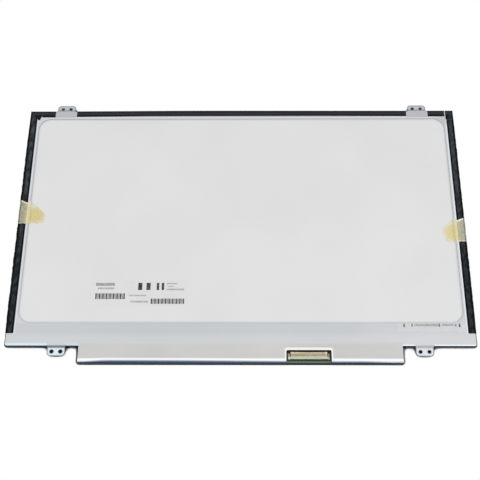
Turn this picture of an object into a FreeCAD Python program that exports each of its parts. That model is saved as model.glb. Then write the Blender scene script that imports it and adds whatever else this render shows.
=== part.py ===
import FreeCAD, Part
import math
import os
import re
import Sketcher

# Slim edge-lit laptop screen panel, lying on its face with its back up.
# The origin is the middle of the panel on the face it lies on: +X to the cable side, +Y to the top
# edge of the picture, +Z out of the back.
SIZES = {
    # picture area and the margins that the layers keep round it
    "active_width": 309.4,
    "active_height": 173.95,
    "glass_border": 3.7,
    "glass_border_top": 3.275,
    "glass_border_low": 7.375,
    "glass_ledge": 4.0,
    "glass_corner": 1.0,
    "polariser_margin": 1.0,
    "sheet_margin": 0.9,
    "guide_run_in": 0.5,
    # thickness of each layer, from the face
    "polariser_thick": 0.2,
    "glass_thick": 0.5,
    "rear_polariser_thick": 0.15,
    "shield_thick": 0.2,
    "prism_thick": 0.15,
    "diffuser_thick": 0.1,
    "guide_thick": 0.7,
    "reflector_thick": 0.2,
    "plate_thick": 0.3,
    # mould frame
    "glass_gap": 0.3,
    "frame_wall": 1.4,
    "frame_corner": 0.8,
    "sheet_gap": 0.3,
    "shield_back": 0.3,
    "lug_length": 8.0,
    "lug_reach": 1.6,
    "lug_place": 60.0,
    # light strip
    "led_count": 40,
    "led_row_end": 3.45,
    "led_length": 3.8,
    "led_depth": 1.3,
    "led_gap": 0.1,
    "led_lift": 0.05,
    "led_window_length": 3.0,
    "led_window_height": 0.36,
    "led_window_depth": 0.3,
    "strip_lap": 0.5,
    "strip_width": 4.7,
    "strip_end": 2.0,
    "strip_gap": 0.3,
    "tail_width": 6.0,
    "tail_reach": 2.65,
    "tail_from_end": 17.35,
    # stamped back frame
    "plate_inset": 0.5,
    "plate_corner": 1.2,
    "window_side": 7.2,
    "window_top": 7.0,
    "window_low": 16.8,
    "window_corner": 9.0,
    "ear_drop": 0.8,
    "ear_gap": 0.2,
    "ear_bend": 0.25,
    "ear_hole_radius": 1.25,
    "ear_hole_pitch": 6.0,
    "top_ear_from_side": 27.1,
    "top_ear_width": 13.6,
    "top_ear_reach": 5.35,
    "top_ear_hole": 2.45,
    "top_ear_corner": 2.4,
    "low_ear_from_side": 35.5,
    "low_ear_width": 12.4,
    "low_ear_reach": 6.7,
    "low_ear_hole": 3.5,
    "low_ear_corner": 2.6,
    # tapes and labels
    "tape_thick": 0.1,
    "tape_bend": 0.18,
    "side_tape_lap": 5.25,
    "top_tape_lap": 4.6,
    "front_tape_lap": 2.5,
    "side_tape_foot": 9.3,
    "ear_tape_gap": 16.2,
    "left_head_width": 8.9,
    "left_head_height": 6.1,
    "corner_width": 5.8,
    "corner_height": 7.9,
    "corner_slit": 0.8,
    "tape_joint": 0.1,
    "yellow_thick": 0.06,
    "yellow_front_lap": 2.3,
    "yellow_shoulder": 8.2,
    "yellow_corner": 2.4,
    "yellow_settle": 0.7,
    "yellow_left_low": -1.2,
    "yellow_left_height": 19.2,
    "yellow_left_dip": 1.6,
    "yellow_left_reach": 18.8,
    "yellow_left_tip": 8.2,
    "yellow_left_slant": 0.2,
    "yellow_right_low": -15.6,
    "yellow_right_height": 18.8,
    "yellow_right_dip": 0.4,
    "yellow_right_reach": 17.0,
    "yellow_right_tip": 9.8,
    "yellow_right_slant": 3.0,
    "label_thick": 0.08,
    "main_label_width": 66.0,
    "main_label_height": 18.6,
    "main_label_from_side": 49.9,
    "main_label_from_low": 12.6,
    "serial_label_width": 46.4,
    "serial_label_height": 6.0,
    "serial_label_from_side": 6.7,
    "serial_label_from_window": 0.15,
    # circuit board and the films that join it to the glass
    "board_width": 222.0,
    "board_depth": 11.2,
    "board_thick": 0.8,
    "board_offset": 0.15,
    "board_gap": 0.55,
    "board_corner": 1.4,
    "film_count": 4,
    "film_pitch": 54.0,
    "film_thick": 0.06,
    "film_glass_width": 30.0,
    "film_board_width": 24.0,
    "film_bond": 1.6,
    "passage_gap": 2.0,
    "chip_length": 18.0,
    "chip_width": 1.1,
    "chip_thick": 0.4,
    # cable socket
    "socket_from_end": 64.7,
    "socket_setback": 2.95,
    "socket_depth": 5.0,
    "socket_height": 1.1,
    "socket_end": 2.55,
    "socket_ledge": 1.4,
    "socket_mouth_height": 0.5,
    "socket_mouth_depth": 2.4,
    "socket_mouth_end": 1.5,
    "contact_count": 40,
    "contact_pitch": 0.5,
    "contact_width": 0.22,
    "contact_thick": 0.15,
    "contact_level": 0.45,
    "contact_foot": 0.6,
    "contact_setback": 0.4,
    "shell_thick": 0.15,
    "shell_depth": 1.9,
    "shell_foot": 1.5,
    # parts soldered on the board
    "part_line": 5.3,
    "controller_side": 7.0,
    "controller_height": 0.9,
    "memory_length": 3.0,
    "memory_width": 4.4,
    "memory_height": 1.0,
    "memory_from_controller": 9.0,
    "controller_from_tail": 93.95,
    "driver_side": 4.0,
    "driver_height": 0.85,
    "driver_from_tail": 11.0,
    "bias_side": 5.0,
    "bias_height": 0.85,
    "bias_from_tail": 36.0,
    "coil_side": 5.0,
    "coil_height": 1.2,
    "coil_corner": 1.0,
    "coil_core": 1.7,
    "coil_groove": 0.35,
    "coil_dip": 0.3,
    "coil_gap": 7.5,
    "part_chamfer": 0.2,
    "capacitor_count": 26,
    "capacitor_pitch": 4.0,
    "capacitor_length": 1.6,
    "capacitor_width": 0.8,
    "capacitor_height": 0.8,
    "capacitor_from_edge": 1.6,
    "resistor_count": 22,
    "resistor_pitch": 3.2,
    "resistor_length": 1.0,
    "resistor_width": 0.5,
    "resistor_height": 0.35,
    "resistor_from_edge": 0.9,
    "row_from_tail": 8.0,
    "led_socket_length": 9.0,
    "led_socket_depth": 3.2,
    "led_socket_gap": 0.85,
    "led_socket_play": 0.05,
    # cover film over the board
    "cover_thick": 0.1,
    "cover_lap": 3.1,
    "cover_edge_gap": 0.1,
    "cover_end_inset": 1.4,
    "cover_bend": 1.3,
    "cover_window_side": 1.3,
    "cover_window_top": 0.25,
    "cover_window_corner": 1.2,
    "cover_clear": 0.1,
}

doc = FreeCAD.newDocument("screen_panel")
sheet = doc.addObject("Spreadsheet::Sheet", "Sizes")
for row, (name, number) in enumerate(SIZES.items(), start=1):
    sheet.set(f"A{row}", name)
    sheet.set(f"B{row}", str(number))
    sheet.setAlias(f"B{row}", name)
doc.recompute()

# Levels through the panel, from the face it lies on to the back
glass_front = "polariser_thick"
array_front = "polariser_thick + glass_thick"
cell_back = "polariser_thick + 2 * glass_thick"
shelf_level = f"{cell_back} + shield_thick"
guide_front = f"{shelf_level} + 2 * prism_thick + diffuser_thick"
guide_back = f"{guide_front} + guide_thick"
plate_front = f"{guide_back} + reflector_thick"
plate_back = f"{plate_front} + plate_thick"
tape_back = f"{plate_back} + tape_thick"
board_back = f"{array_front} + board_thick"
ear_front = f"{plate_front} - ear_drop"

# Outlines of the cell and the frame; the picture sits above the middle by half the uneven borders
picture_y = "(glass_border_low - glass_border_top) / 2"
picture_low = f"{picture_y} - active_height / 2"
picture_top = f"{picture_y} + active_height / 2"
glass_x = "active_width / 2 + glass_border"
glass_y = "(active_height + glass_border_top + glass_border_low) / 2"
frame_x = f"{glass_x} + glass_gap + frame_wall"
frame_y = f"{glass_y} + glass_gap + frame_wall"
sheet_x = "active_width / 2 + sheet_margin"
opening_x = f"{sheet_x} + sheet_gap"
opening_low = f"{picture_low} - sheet_margin - sheet_gap"
opening_top = f"{picture_top} + sheet_margin + sheet_gap"
guide_low = f"{picture_low} - guide_run_in"
strip_top = f"{guide_low} + strip_lap"
strip_low = f"{strip_top} - strip_width"
window_x = f"{frame_x} - window_side"
window_y_top = f"{frame_y} - window_top"
window_y_low = f"window_low - ({frame_y})"

# The board hangs below the frame, and the socket and the light strip's tail count from its ends
board_top = f"-({frame_y}) - board_gap"
board_low = f"{board_top} - board_depth"
board_left = "board_offset - board_width / 2"
board_right = "board_offset + board_width / 2"
part_y = f"{board_top} - part_line"
tail_x = f"{board_left} + tail_from_end"
tail_low = f"{board_top} - tail_reach"
socket_x = f"{board_right} - socket_from_end"
socket_front = f"{board_low} + socket_setback"
socket_back = f"{socket_front} + socket_depth"
contact_run = "(contact_count - 1) * contact_pitch"
socket_half = f"{contact_run} / 2 + socket_end"

# Places closer together than this are the same place
SAME = 1e-3

nodes = {}


def size(name):
    """Present value of one cell of the sheet."""
    return sheet.get(name)


def bind(thing, prop, text):
    """Bind a property to a formula whose words are names of sizes."""
    thing.setExpression(prop, re.sub(r"[a-z][a-z_]+", lambda word: "Sizes." + word.group(0), text))


def new_body(label):
    """Empty body that becomes the node of that name."""
    body = doc.addObject("PartDesign::Body", label)
    body.Label = label
    nodes[label] = body
    return body


def new_sketch(body, plane, level):
    """Sketch on one of the body's own planes, moved along the plane's normal to a level."""
    sketch = body.newObject("Sketcher::SketchObject", body.Label + "_sketch")
    support = next(item for item in body.Origin.OriginFeatures if item.Role == plane)
    sketch.AttachmentSupport = [(support, "")]
    sketch.MapMode = "FlatFace"
    bind(sketch, "AttachmentOffset.Base.z", level)
    return sketch


def locate(sketch, geometry, point, start, across, up):
    """Fix one point of a sketch by two formulas."""
    for kind, first, text in (("DistanceX", start.x, across), ("DistanceY", start.y, up)):
        number = sketch.addConstraint(Sketcher.Constraint(kind, -1, 1, geometry, point, first))
        bind(sketch, f"Constraints[{number}]", text)


def outline(sketch, corners):
    """Closed run of straight lines through corners that are each given by two formulas.

    It starts as an even polygon about the origin, which the formulas then pull into shape.
    """
    count = len(corners)
    turns = [2 * math.pi * (step + 0.5) / count for step in range(count)]
    starts = [FreeCAD.Vector(math.cos(turn), math.sin(turn), 0) * count for turn in turns]
    lines = []
    for step in range(count):
        line = Part.LineSegment(starts[step], starts[(step + 1) % count])
        lines.append(sketch.addGeometry(line))
    for step in range(count):
        follower = lines[(step + 1) % count]
        sketch.addConstraint(Sketcher.Constraint("Coincident", lines[step], 2, follower, 1))
    for line, start, (across, up) in zip(lines, starts, corners):
        locate(sketch, line, 1, start, across, up)


def rectangle(sketch, left, right, low, high):
    """Upright rectangle between four formulas."""
    outline(sketch, [(left, low), (right, low), (right, high), (left, high)])


def circle(sketch, across, up, radius):
    """Circle whose middle and radius are formulas."""
    start = FreeCAD.Vector(1, 1, 0)
    number = sketch.addGeometry(Part.Circle(start, FreeCAD.Vector(0, 0, 1), 1))
    locate(sketch, number, 3, start, across, up)
    limit = sketch.addConstraint(Sketcher.Constraint("Radius", number, 1))
    bind(sketch, f"Constraints[{limit}]", radius)


def pad(body, sketch, length, reverse=False):
    """Add the sketch's area, drawn out by a length."""
    feature = body.newObject("PartDesign::Pad", body.Label + "_pad")
    feature.Profile = sketch
    feature.Reversed = reverse
    bind(feature, "Length", length)
    return feature


def pocket(body, sketch, depth, reverse=False):
    """Cut the sketch's area away to a depth and make sure that something went."""
    doc.recompute()
    before = body.Shape.Volume
    feature = body.newObject("PartDesign::Pocket", body.Label + "_pocket")
    feature.Profile = sketch
    feature.Reversed = reverse
    bind(feature, "Length", depth)
    doc.recompute()
    if body.Shape.Volume > before - SAME:
        raise RuntimeError(f"a pocket of {body.Label} cuts nothing")
    return feature


def dress(body, kind, prop, amount, wanted):
    """Fillet or chamfer the edges that a test picks."""
    doc.recompute()
    base = body.Tip
    picked = [f"Edge{number}" for number, edge in enumerate(base.Shape.Edges, 1) if wanted(edge)]
    feature = body.newObject(kind, body.Label + "_edges")
    feature.Base = (base, picked)
    bind(feature, prop, amount)


def fillet(body, radius, wanted):
    dress(body, "PartDesign::Fillet", "Radius", radius, wanted)


def chamfer(body, width, wanted):
    dress(body, "PartDesign::Chamfer", "Size", width, wanted)


def repeat(body, features, count, pitch):
    """Row of the given features along X, as separate solids of one body."""
    body.AllowCompound = True
    row = body.newObject("PartDesign::LinearPattern", body.Label + "_row")
    row.Originals = features
    axis = next(item for item in body.Origin.OriginFeatures if item.Role == "X_Axis")
    row.Direction = (axis, [""])
    row.Mode = "Spacing"
    bind(row, "Offset", pitch)
    bind(row, "Occurrences", count)
    body.Tip = row


def runs_along(edge, axis):
    """True for a straight edge parallel to the axis named x, y or z."""
    span = edge.BoundBox
    lengths = {"x": span.XLength, "y": span.YLength, "z": span.ZLength}
    long = lengths.pop(axis)
    return long > SAME and max(lengths.values()) < SAME


def slab(label, left, right, low, high, front, thick):
    """Flat sheet with square corners."""
    box = doc.addObject("Part::Box", label)
    box.Label = label
    bind(box, "Length", f"({right}) - ({left})")
    bind(box, "Width", f"({high}) - ({low})")
    bind(box, "Height", thick)
    bind(box, "Placement.Base.x", left)
    bind(box, "Placement.Base.y", low)
    bind(box, "Placement.Base.z", front)
    nodes[label] = box


def block(label, middle_x, middle_y, length, width, front, height):
    """Small flat part given by its middle."""
    body = new_body(label)
    sketch = new_sketch(body, "XY_Plane", front)
    rectangle(
        sketch,
        f"{middle_x} - {length} / 2",
        f"{middle_x} + {length} / 2",
        f"{middle_y} - {width} / 2",
        f"{middle_y} + {width} / 2",
    )
    pad(body, sketch, height)
    return body


def glass(label, low, front):
    """Plate of the cell with its corners cut off."""
    body = new_body(label)
    sketch = new_sketch(body, "XY_Plane", front)
    rectangle(sketch, f"-({glass_x})", glass_x, low, glass_y)
    pad(body, sketch, "glass_thick")
    chamfer(body, "glass_corner", lambda edge: runs_along(edge, "z"))


def polariser(label, front, thick):
    slab(
        label,
        "-active_width / 2 - polariser_margin",
        "active_width / 2 + polariser_margin",
        f"{picture_low} - polariser_margin",
        f"{picture_top} + polariser_margin",
        front,
        thick,
    )


def optical_sheet(label, low, front, thick):
    """Sheet of the light stack, with two lugs on each side that sit in notches of the frame."""
    body = new_body(label)
    sketch = new_sketch(body, "XY_Plane", front)
    rectangle(sketch, f"-({sheet_x})", sheet_x, low, f"{picture_top} + sheet_margin")
    pad(body, sketch, thick)
    lugs = new_sketch(body, "XY_Plane", front)
    lug_outer = f"{sheet_x} + lug_reach"
    for side in ("-1", "1"):
        for place in ("-lug_place", "lug_place"):
            inner = f"{side} * ({sheet_x} - lug_reach)"
            outer = f"{side} * ({lug_outer})"
            rectangle(lugs, inner, outer, f"{place} - lug_length / 2", f"{place} + lug_length / 2")
    pad(body, lugs, thick)


# Display cell: polariser, colour filter glass, array glass with the bonding ledge, polariser
polariser("front_polariser", "0", "polariser_thick")
glass("colour_filter_glass", f"glass_ledge - ({glass_y})", glass_front)
glass("array_glass", f"-({glass_y})", array_front)
polariser("rear_polariser", cell_back, "rear_polariser_thick")

# Driver films bonded under the ledge and under the board, each with a chip between the two
for number in range(1, int(size("film_count")) + 1):
    film_x = f"board_offset + ({number} - (film_count + 1) / 2) * film_pitch"
    film_top = f"film_bond - ({glass_y})"
    film_low = f"{board_top} - film_bond"
    film = new_body(f"driver_film_{number}")
    profile = new_sketch(film, "XY_Plane", f"{array_front} - film_thick")
    corners = [
        (f"{film_x} - film_board_width / 2", film_low),
        (f"{film_x} + film_board_width / 2", film_low),
        (f"{film_x} + film_glass_width / 2", film_top),
        (f"{film_x} - film_glass_width / 2", film_top),
    ]
    outline(profile, corners)
    pad(film, profile, "film_thick")
    chip_y = f"(({board_top}) - ({glass_y})) / 2"
    block(f"driver_chip_{number}", film_x, chip_y, "chip_length", "chip_width", array_front, "chip_thick")

# Black double-sided tape that joins the cell to the frame and stops stray light
shield = new_body("light_shield_tape")
profile = new_sketch(shield, "XY_Plane", cell_back)
rectangle(profile, f"-({glass_x})", glass_x, f"-({glass_y})", glass_y)
shield_x = f"{opening_x} + shield_back"
rectangle(profile, f"-({shield_x})", shield_x, f"{opening_low} - shield_back", f"{opening_top} + shield_back")
pad(shield, profile, "shield_thick")

# Light stack, from the cell to the back
sheet_low = f"{picture_low} - sheet_margin"
optical_sheet("upper_prism_sheet", sheet_low, shelf_level, "prism_thick")
optical_sheet("lower_prism_sheet", sheet_low, f"{shelf_level} + prism_thick", "prism_thick")
optical_sheet("diffuser_sheet", sheet_low, f"{shelf_level} + 2 * prism_thick", "diffuser_thick")
optical_sheet("light_guide", guide_low, guide_front, "guide_thick")
optical_sheet("reflector_sheet", f"{strip_top} + led_gap", guide_back, "reflector_thick")

# Light strip: flexible board along the low edge with a tail that runs out to the circuit board
strip = new_body("led_strip")
profile = new_sketch(strip, "XY_Plane", guide_back)
strip_x = f"{sheet_x} - strip_end"
tail_left = f"{tail_x} - tail_width / 2"
tail_right = f"{tail_x} + tail_width / 2"
corners = [
    (f"-({strip_x})", strip_top),
    (f"-({strip_x})", strip_low),
    (tail_left, strip_low),
    (tail_left, tail_low),
    (tail_right, tail_low),
    (tail_right, strip_low),
    (strip_x, strip_low),
    (strip_x, strip_top),
]
outline(profile, corners)
pad(strip, profile, "reflector_thick")

# Side-firing light packages in a row, each with a window that faces the edge of the guide
leds = new_body("led_packages")
led_x = f"led_row_end - ({strip_x})"
led_pitch = f"2 * ({strip_x} - led_row_end) / (led_count - 1)"
led_face = f"{guide_low} - led_gap"
led_height = "guide_thick - led_lift"
profile = new_sketch(leds, "XY_Plane", f"{guide_front} + led_lift")
led_back = f"{led_face} - led_depth"
rectangle(profile, f"{led_x} - led_length / 2", f"{led_x} + led_length / 2", led_back, led_face)
package = pad(leds, profile, led_height)
profile = new_sketch(leds, "XZ_Plane", f"-({led_face})")
led_middle = f"{guide_front} + led_lift + ({led_height}) / 2"
rectangle(
    profile,
    f"{led_x} - led_window_length / 2",
    f"{led_x} + led_window_length / 2",
    f"{led_middle} - led_window_height / 2",
    f"{led_middle} + led_window_height / 2",
)
window = pocket(leds, profile, "led_window_depth", reverse=True)
repeat(leds, [package, window], "led_count", led_pitch)


def frame_corner_edge(edge):
    """True for the upright edges at the mould frame's outer corners."""
    return runs_along(edge, "z") and abs(edge.CenterOfMass.x) > frame.Shape.BoundBox.XMax - SAME


# Mould frame: ring with a seat for the cell in front, an opening for the sheets, a trough for the light
# strip, a gate for the driver films, a notch for the tail and notches for the sheets' lugs
frame = new_body("mould_frame")
profile = new_sketch(frame, "XY_Plane", glass_front)
rectangle(profile, f"-({frame_x})", frame_x, f"-({frame_y})", frame_y)
rectangle(profile, f"-({opening_x})", opening_x, opening_low, opening_top)
pad(frame, profile, f"{plate_front} - ({glass_front})")
fillet(frame, "frame_corner", frame_corner_edge)
seat = new_sketch(frame, "XY_Plane", shelf_level)
seat_x = f"{glass_x} + glass_gap"
seat_y = f"{glass_y} + glass_gap"
rectangle(seat, f"-({seat_x})", seat_x, f"-({seat_y})", seat_y)
pocket(frame, seat, f"{shelf_level} - ({glass_front})")
gate = new_sketch(frame, "XY_Plane", shelf_level)
gate_left = f"{board_left} - passage_gap"
gate_right = f"{board_right} + passage_gap"
rectangle(gate, gate_left, gate_right, f"-({frame_y}) - frame_wall", f"glass_gap - ({seat_y})")
pocket(frame, gate, f"{shelf_level} - ({glass_front})")
trough = new_sketch(frame, "XY_Plane", plate_front)
trough_low = f"{strip_low} - strip_gap"
rectangle(trough, f"-({opening_x})", opening_x, trough_low, f"{opening_low} + sheet_gap")
pocket(frame, trough, f"{plate_front} - ({guide_front})")
notch = new_sketch(frame, "XY_Plane", plate_front)
notch_left = f"{tail_left} - strip_gap"
notch_right = f"{tail_right} + strip_gap"
rectangle(notch, notch_left, notch_right, f"-({frame_y}) - frame_wall", f"{trough_low} + strip_gap")
pocket(frame, notch, "reflector_thick + led_socket_play")
lug_notches = new_sketch(frame, "XY_Plane", plate_front)
for side in ("-1", "1"):
    for place in ("-lug_place", "lug_place"):
        notch_in = f"{side} * ({opening_x} - sheet_gap)"
        notch_out = f"{side} * ({opening_x} + lug_reach)"
        notch_low = f"{place} - lug_length / 2 - sheet_gap"
        rectangle(lug_notches, notch_in, notch_out, notch_low, f"{place} + lug_length / 2 + sheet_gap")
pocket(frame, lug_notches, f"{plate_front} - ({shelf_level})")

# Stamped back frame: plate with a round-cornered window and four stepped ears with two screw holes each
plate = new_body("back_frame")
plate_x = f"{frame_x} - plate_inset"
plate_y = f"{frame_y} - plate_inset"
profile = new_sketch(plate, "XY_Plane", plate_front)
rectangle(profile, f"-({plate_x})", plate_x, f"-({plate_y})", plate_y)
pad(plate, profile, "plate_thick")
fillet(plate, "plate_corner", lambda edge: runs_along(edge, "z"))
opening = new_sketch(plate, "XY_Plane", plate_back)
rectangle(opening, f"-({window_x})", window_x, window_y_low, window_y_top)
pocket(plate, opening, "plate_thick")


def in_window(edge):
    """True for the upright edges at the corners of the back frame's window."""
    reach = frame.Shape.BoundBox.XMax - size("window_side") + SAME
    return runs_along(edge, "z") and abs(edge.CenterOfMass.x) < reach


fillet(plate, "window_corner", in_window)
ears = (
    ("-1", "1", "top_ear"),
    ("1", "1", "top_ear"),
    ("-1", "-1", "low_ear"),
    ("1", "-1", "low_ear"),
)
riser = f"{frame_y} + tape_thick + ear_gap"
for side, end, kind in ears:
    ear_x = f"{side} * ({frame_x} - {kind}_from_side)"
    ear_end = f"{frame_y} + {kind}_reach"
    step = new_sketch(plate, "YZ_Plane", f"{ear_x} - {kind}_width / 2")
    corners = [
        (f"{end} * ({plate_y} - frame_wall)", plate_front),
        (f"{end} * ({riser})", plate_front),
        (f"{end} * ({riser})", ear_front),
        (f"{end} * ({ear_end})", ear_front),
        (f"{end} * ({ear_end})", f"{ear_front} + plate_thick"),
        (f"{end} * ({riser} + plate_thick)", f"{ear_front} + plate_thick"),
        (f"{end} * ({riser} + plate_thick)", plate_back),
        (f"{end} * ({plate_y} - frame_wall)", plate_back),
    ]
    outline(step, corners)
    pad(plate, step, f"{kind}_width")


def ear_tip(end, kind):
    """Test for the upright edges at the free ends of the ears along one edge of the panel."""
    reach = frame.Shape.BoundBox.YMax + size(f"{kind}_reach") - SAME
    return lambda edge: runs_along(edge, "z") and end * edge.CenterOfMass.y > reach


def ear_bend_line(edge):
    """True for the outer edges of the two bends in each ear."""
    foot = frame.Shape.BoundBox.YMax + size("tape_thick") + size("ear_gap")
    back = plate.Shape.BoundBox.ZMax
    front = plate.Shape.BoundBox.ZMin
    at = edge.CenterOfMass
    high_bend = abs(abs(at.y) - foot - size("plate_thick")) < SAME and abs(at.z - back) < SAME
    low_bend = abs(abs(at.y) - foot) < SAME and abs(at.z - front) < SAME
    return runs_along(edge, "x") and (high_bend or low_bend)


fillet(plate, "top_ear_corner", ear_tip(1, "top_ear"))
fillet(plate, "low_ear_corner", ear_tip(-1, "low_ear"))
fillet(plate, "ear_bend", ear_bend_line)
holes = new_sketch(plate, "XY_Plane", f"{ear_front} + plate_thick")
for side, end, kind in ears:
    ear_x = f"{side} * ({frame_x} - {kind}_from_side)"
    hole_y = f"{end} * ({frame_y} + {kind}_hole)"
    circle(holes, f"{ear_x} - ear_hole_pitch / 2", hole_y, "ear_hole_radius")
    circle(holes, f"{ear_x} + ear_hole_pitch / 2", hole_y, "ear_hole_radius")
pocket(plate, holes, "plate_thick")


# Black edge tapes: each laps onto the back frame, runs down the mould frame and laps under the cell
def side_tape(label, side, low, high):
    """Tape along a side edge, drawn as its folded section and run along Y."""
    body = new_body(label)
    section = new_sketch(body, "XZ_Plane", f"-({high})")
    face = f"{side} * ({frame_x})"
    skin = f"{side} * ({frame_x} + tape_thick)"
    lap_back = f"{side} * ({frame_x} - side_tape_lap)"
    lap_front = f"{side} * ({frame_x} - front_tape_lap)"
    under = f"{glass_front} - tape_thick"
    corners = [
        (skin, under),
        (skin, tape_back),
        (lap_back, tape_back),
        (lap_back, plate_back),
        (face, plate_back),
        (face, glass_front),
        (lap_front, glass_front),
        (lap_front, under),
    ]
    outline(section, corners)
    pad(body, section, f"({high}) - ({low})")
    return body


def corner_head(body, side, width, height):
    """Square head of tape folded over a top corner, on three faces of the panel."""
    skin = f"{side} * ({frame_x} + tape_thick)"
    inner = f"{side} * ({frame_x} + tape_thick - {width})"
    top = f"{frame_y} + tape_thick"
    under = f"{glass_front} - tape_thick"
    back = new_sketch(body, "XY_Plane", plate_back)
    rectangle(back, skin, inner, f"{top} - {height}", top)
    pad(body, back, "tape_thick")
    fold = new_sketch(body, "XY_Plane", under)
    rectangle(fold, skin, inner, frame_y, top)
    pad(body, fold, f"{tape_back} - ({under})")
    front = new_sketch(body, "XY_Plane", under)
    rectangle(front, skin, inner, f"{frame_y} - front_tape_lap", top)
    pad(body, front, "tape_thick")


def round_folds(body):
    """Round the fold between a tape's back lap and the lap down the edge."""
    doc.recompute()
    box = body.Shape.BoundBox

    def on_fold(edge):
        at = edge.CenterOfMass
        outside = abs(at.x) > max(abs(box.XMin), abs(box.XMax)) - SAME or at.y > box.YMax - SAME
        level = abs(at.z - box.ZMax) < SAME
        return level and outside and (runs_along(edge, "y") or runs_along(edge, "x"))

    fillet(body, "tape_bend", on_fold)


tape_low = f"side_tape_foot - ({frame_y})"
tape_top = f"{frame_y} + tape_thick"
left_tape = side_tape("edge_tape_left", "-1", tape_low, tape_top)
corner_head(left_tape, "-1", "left_head_width", "left_head_height")
round_folds(left_tape)
right_tape = side_tape("edge_tape_right", "1", tape_low, f"{tape_top} - corner_height - tape_joint")
round_folds(right_tape)
corner_tape = side_tape("edge_tape_corner", "1", f"{tape_top} - corner_height", tape_top)
corner_head(corner_tape, "1", "corner_width", "corner_height")
round_folds(corner_tape)


def top_tape(label, left, right):
    """Tape along the top edge between two places."""
    body = new_body(label)
    section = new_sketch(body, "YZ_Plane", left)
    under = f"{glass_front} - tape_thick"
    corners = [
        (tape_top, under),
        (tape_top, tape_back),
        (f"{frame_y} - top_tape_lap", tape_back),
        (f"{frame_y} - top_tape_lap", plate_back),
        (frame_y, plate_back),
        (frame_y, glass_front),
        (f"{frame_y} - front_tape_lap", glass_front),
        (f"{frame_y} - front_tape_lap", under),
    ]
    outline(section, corners)
    pad(body, section, f"({right}) - ({left})")
    doc.recompute()
    box = body.Shape.BoundBox

    def on_fold(edge):
        at = edge.CenterOfMass
        return runs_along(edge, "x") and at.y > box.YMax - SAME and at.z > box.ZMax - SAME

    fillet(body, "tape_bend", on_fold)


gap_x = f"{frame_x} - top_ear_from_side"
tape_x = f"{frame_x} + tape_thick"
top_tape("edge_tape_top_left", f"left_head_width + tape_joint - ({tape_x})", f"-({gap_x}) - ear_tape_gap / 2")
top_tape("edge_tape_top", f"ear_tape_gap / 2 - ({gap_x})", f"{gap_x} - ear_tape_gap / 2")
top_tape("edge_tape_top_right", f"{gap_x} + ear_tape_gap / 2", f"{tape_x} - corner_width - corner_slit")

# Circuit board beside the frame, level with the array glass so that the driver films lie flat
board = new_body("circuit_board")
profile = new_sketch(board, "XY_Plane", array_front)
rectangle(profile, board_left, board_right, board_low, board_top)
pad(board, profile, "board_thick")
fillet(board, "board_corner", lambda edge: runs_along(edge, "z"))

# Cable socket: housing with a mouth towards the board's edge and a low ledge where the contacts come out
housing = block(
    "socket_housing",
    socket_x,
    f"{socket_front} + socket_depth / 2",
    f"2 * ({socket_half})",
    "socket_depth",
    board_back,
    "socket_height",
)
contact_front = f"{board_back} + contact_level"
ledge = new_sketch(housing, "XY_Plane", f"{board_back} + socket_height")
ledge_half = f"{contact_run} / 2 + contact_pitch"
ledge_left = f"{socket_x} - ({ledge_half})"
ledge_right = f"{socket_x} + {ledge_half}"
rectangle(ledge, ledge_left, ledge_right, f"{socket_back} - socket_ledge", f"{socket_back} + socket_ledge")
pocket(housing, ledge, "socket_height - contact_level - contact_thick")
mouth = new_sketch(housing, "XZ_Plane", f"-({socket_front})")
mouth_half = f"{socket_half} - socket_mouth_end"
mouth_low = f"{contact_front} - (socket_mouth_height - contact_thick) / 2"
mouth_high = f"{mouth_low} + socket_mouth_height"
rectangle(mouth, f"{socket_x} - ({mouth_half})", f"{socket_x} + {mouth_half}", mouth_low, mouth_high)
pocket(housing, mouth, "socket_mouth_depth")
passage = new_sketch(housing, "XZ_Plane", f"-({socket_front})")
rectangle(passage, ledge_left, ledge_right, contact_front, f"{contact_front} + contact_thick")
pocket(housing, passage, "socket_depth")

# Row of sprung contacts: a beam in the mouth, a drop behind the housing and a foot on the board
contacts = new_body("socket_contacts")
contact_x = f"{socket_x} - ({contact_run}) / 2 - contact_width / 2"
section = new_sketch(contacts, "YZ_Plane", contact_x)
beam_back = f"{contact_front} + contact_thick"
corners = [
    (f"{socket_front} + contact_setback", contact_front),
    (socket_back, contact_front),
    (socket_back, board_back),
    (f"{socket_back} + contact_thick + contact_foot", board_back),
    (f"{socket_back} + contact_thick + contact_foot", f"{board_back} + contact_thick"),
    (f"{socket_back} + contact_thick", f"{board_back} + contact_thick"),
    (f"{socket_back} + contact_thick", beam_back),
    (f"{socket_front} + contact_setback", beam_back),
]
outline(section, corners)
contact = pad(contacts, section, "contact_width")
repeat(contacts, [contact], "contact_count", "contact_pitch")

# Steel shell: a hat-shaped strip over the mouth with a foot soldered down at each end
shell = new_body("socket_shell")
section = new_sketch(shell, "XZ_Plane", f"-({socket_front} + shell_depth)")
crown = f"{board_back} + socket_height"
leg = socket_half
foot_end = f"{socket_half} + shell_thick + shell_foot"
foot_top = f"{board_back} + shell_thick"
corners = [
    (f"{socket_x} - ({foot_end})", board_back),
    (f"{socket_x} - ({leg})", board_back),
    (f"{socket_x} - ({leg})", crown),
    (f"{socket_x} + {leg}", crown),
    (f"{socket_x} + {leg}", board_back),
    (f"{socket_x} + {foot_end}", board_back),
    (f"{socket_x} + {foot_end}", foot_top),
    (f"{socket_x} + {leg} + shell_thick", foot_top),
    (f"{socket_x} + {leg} + shell_thick", f"{crown} + shell_thick"),
    (f"{socket_x} - ({leg}) - shell_thick", f"{crown} + shell_thick"),
    (f"{socket_x} - ({leg}) - shell_thick", foot_top),
    (f"{socket_x} - ({foot_end})", foot_top),
]
outline(section, corners)
pad(shell, section, "shell_depth")


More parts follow.
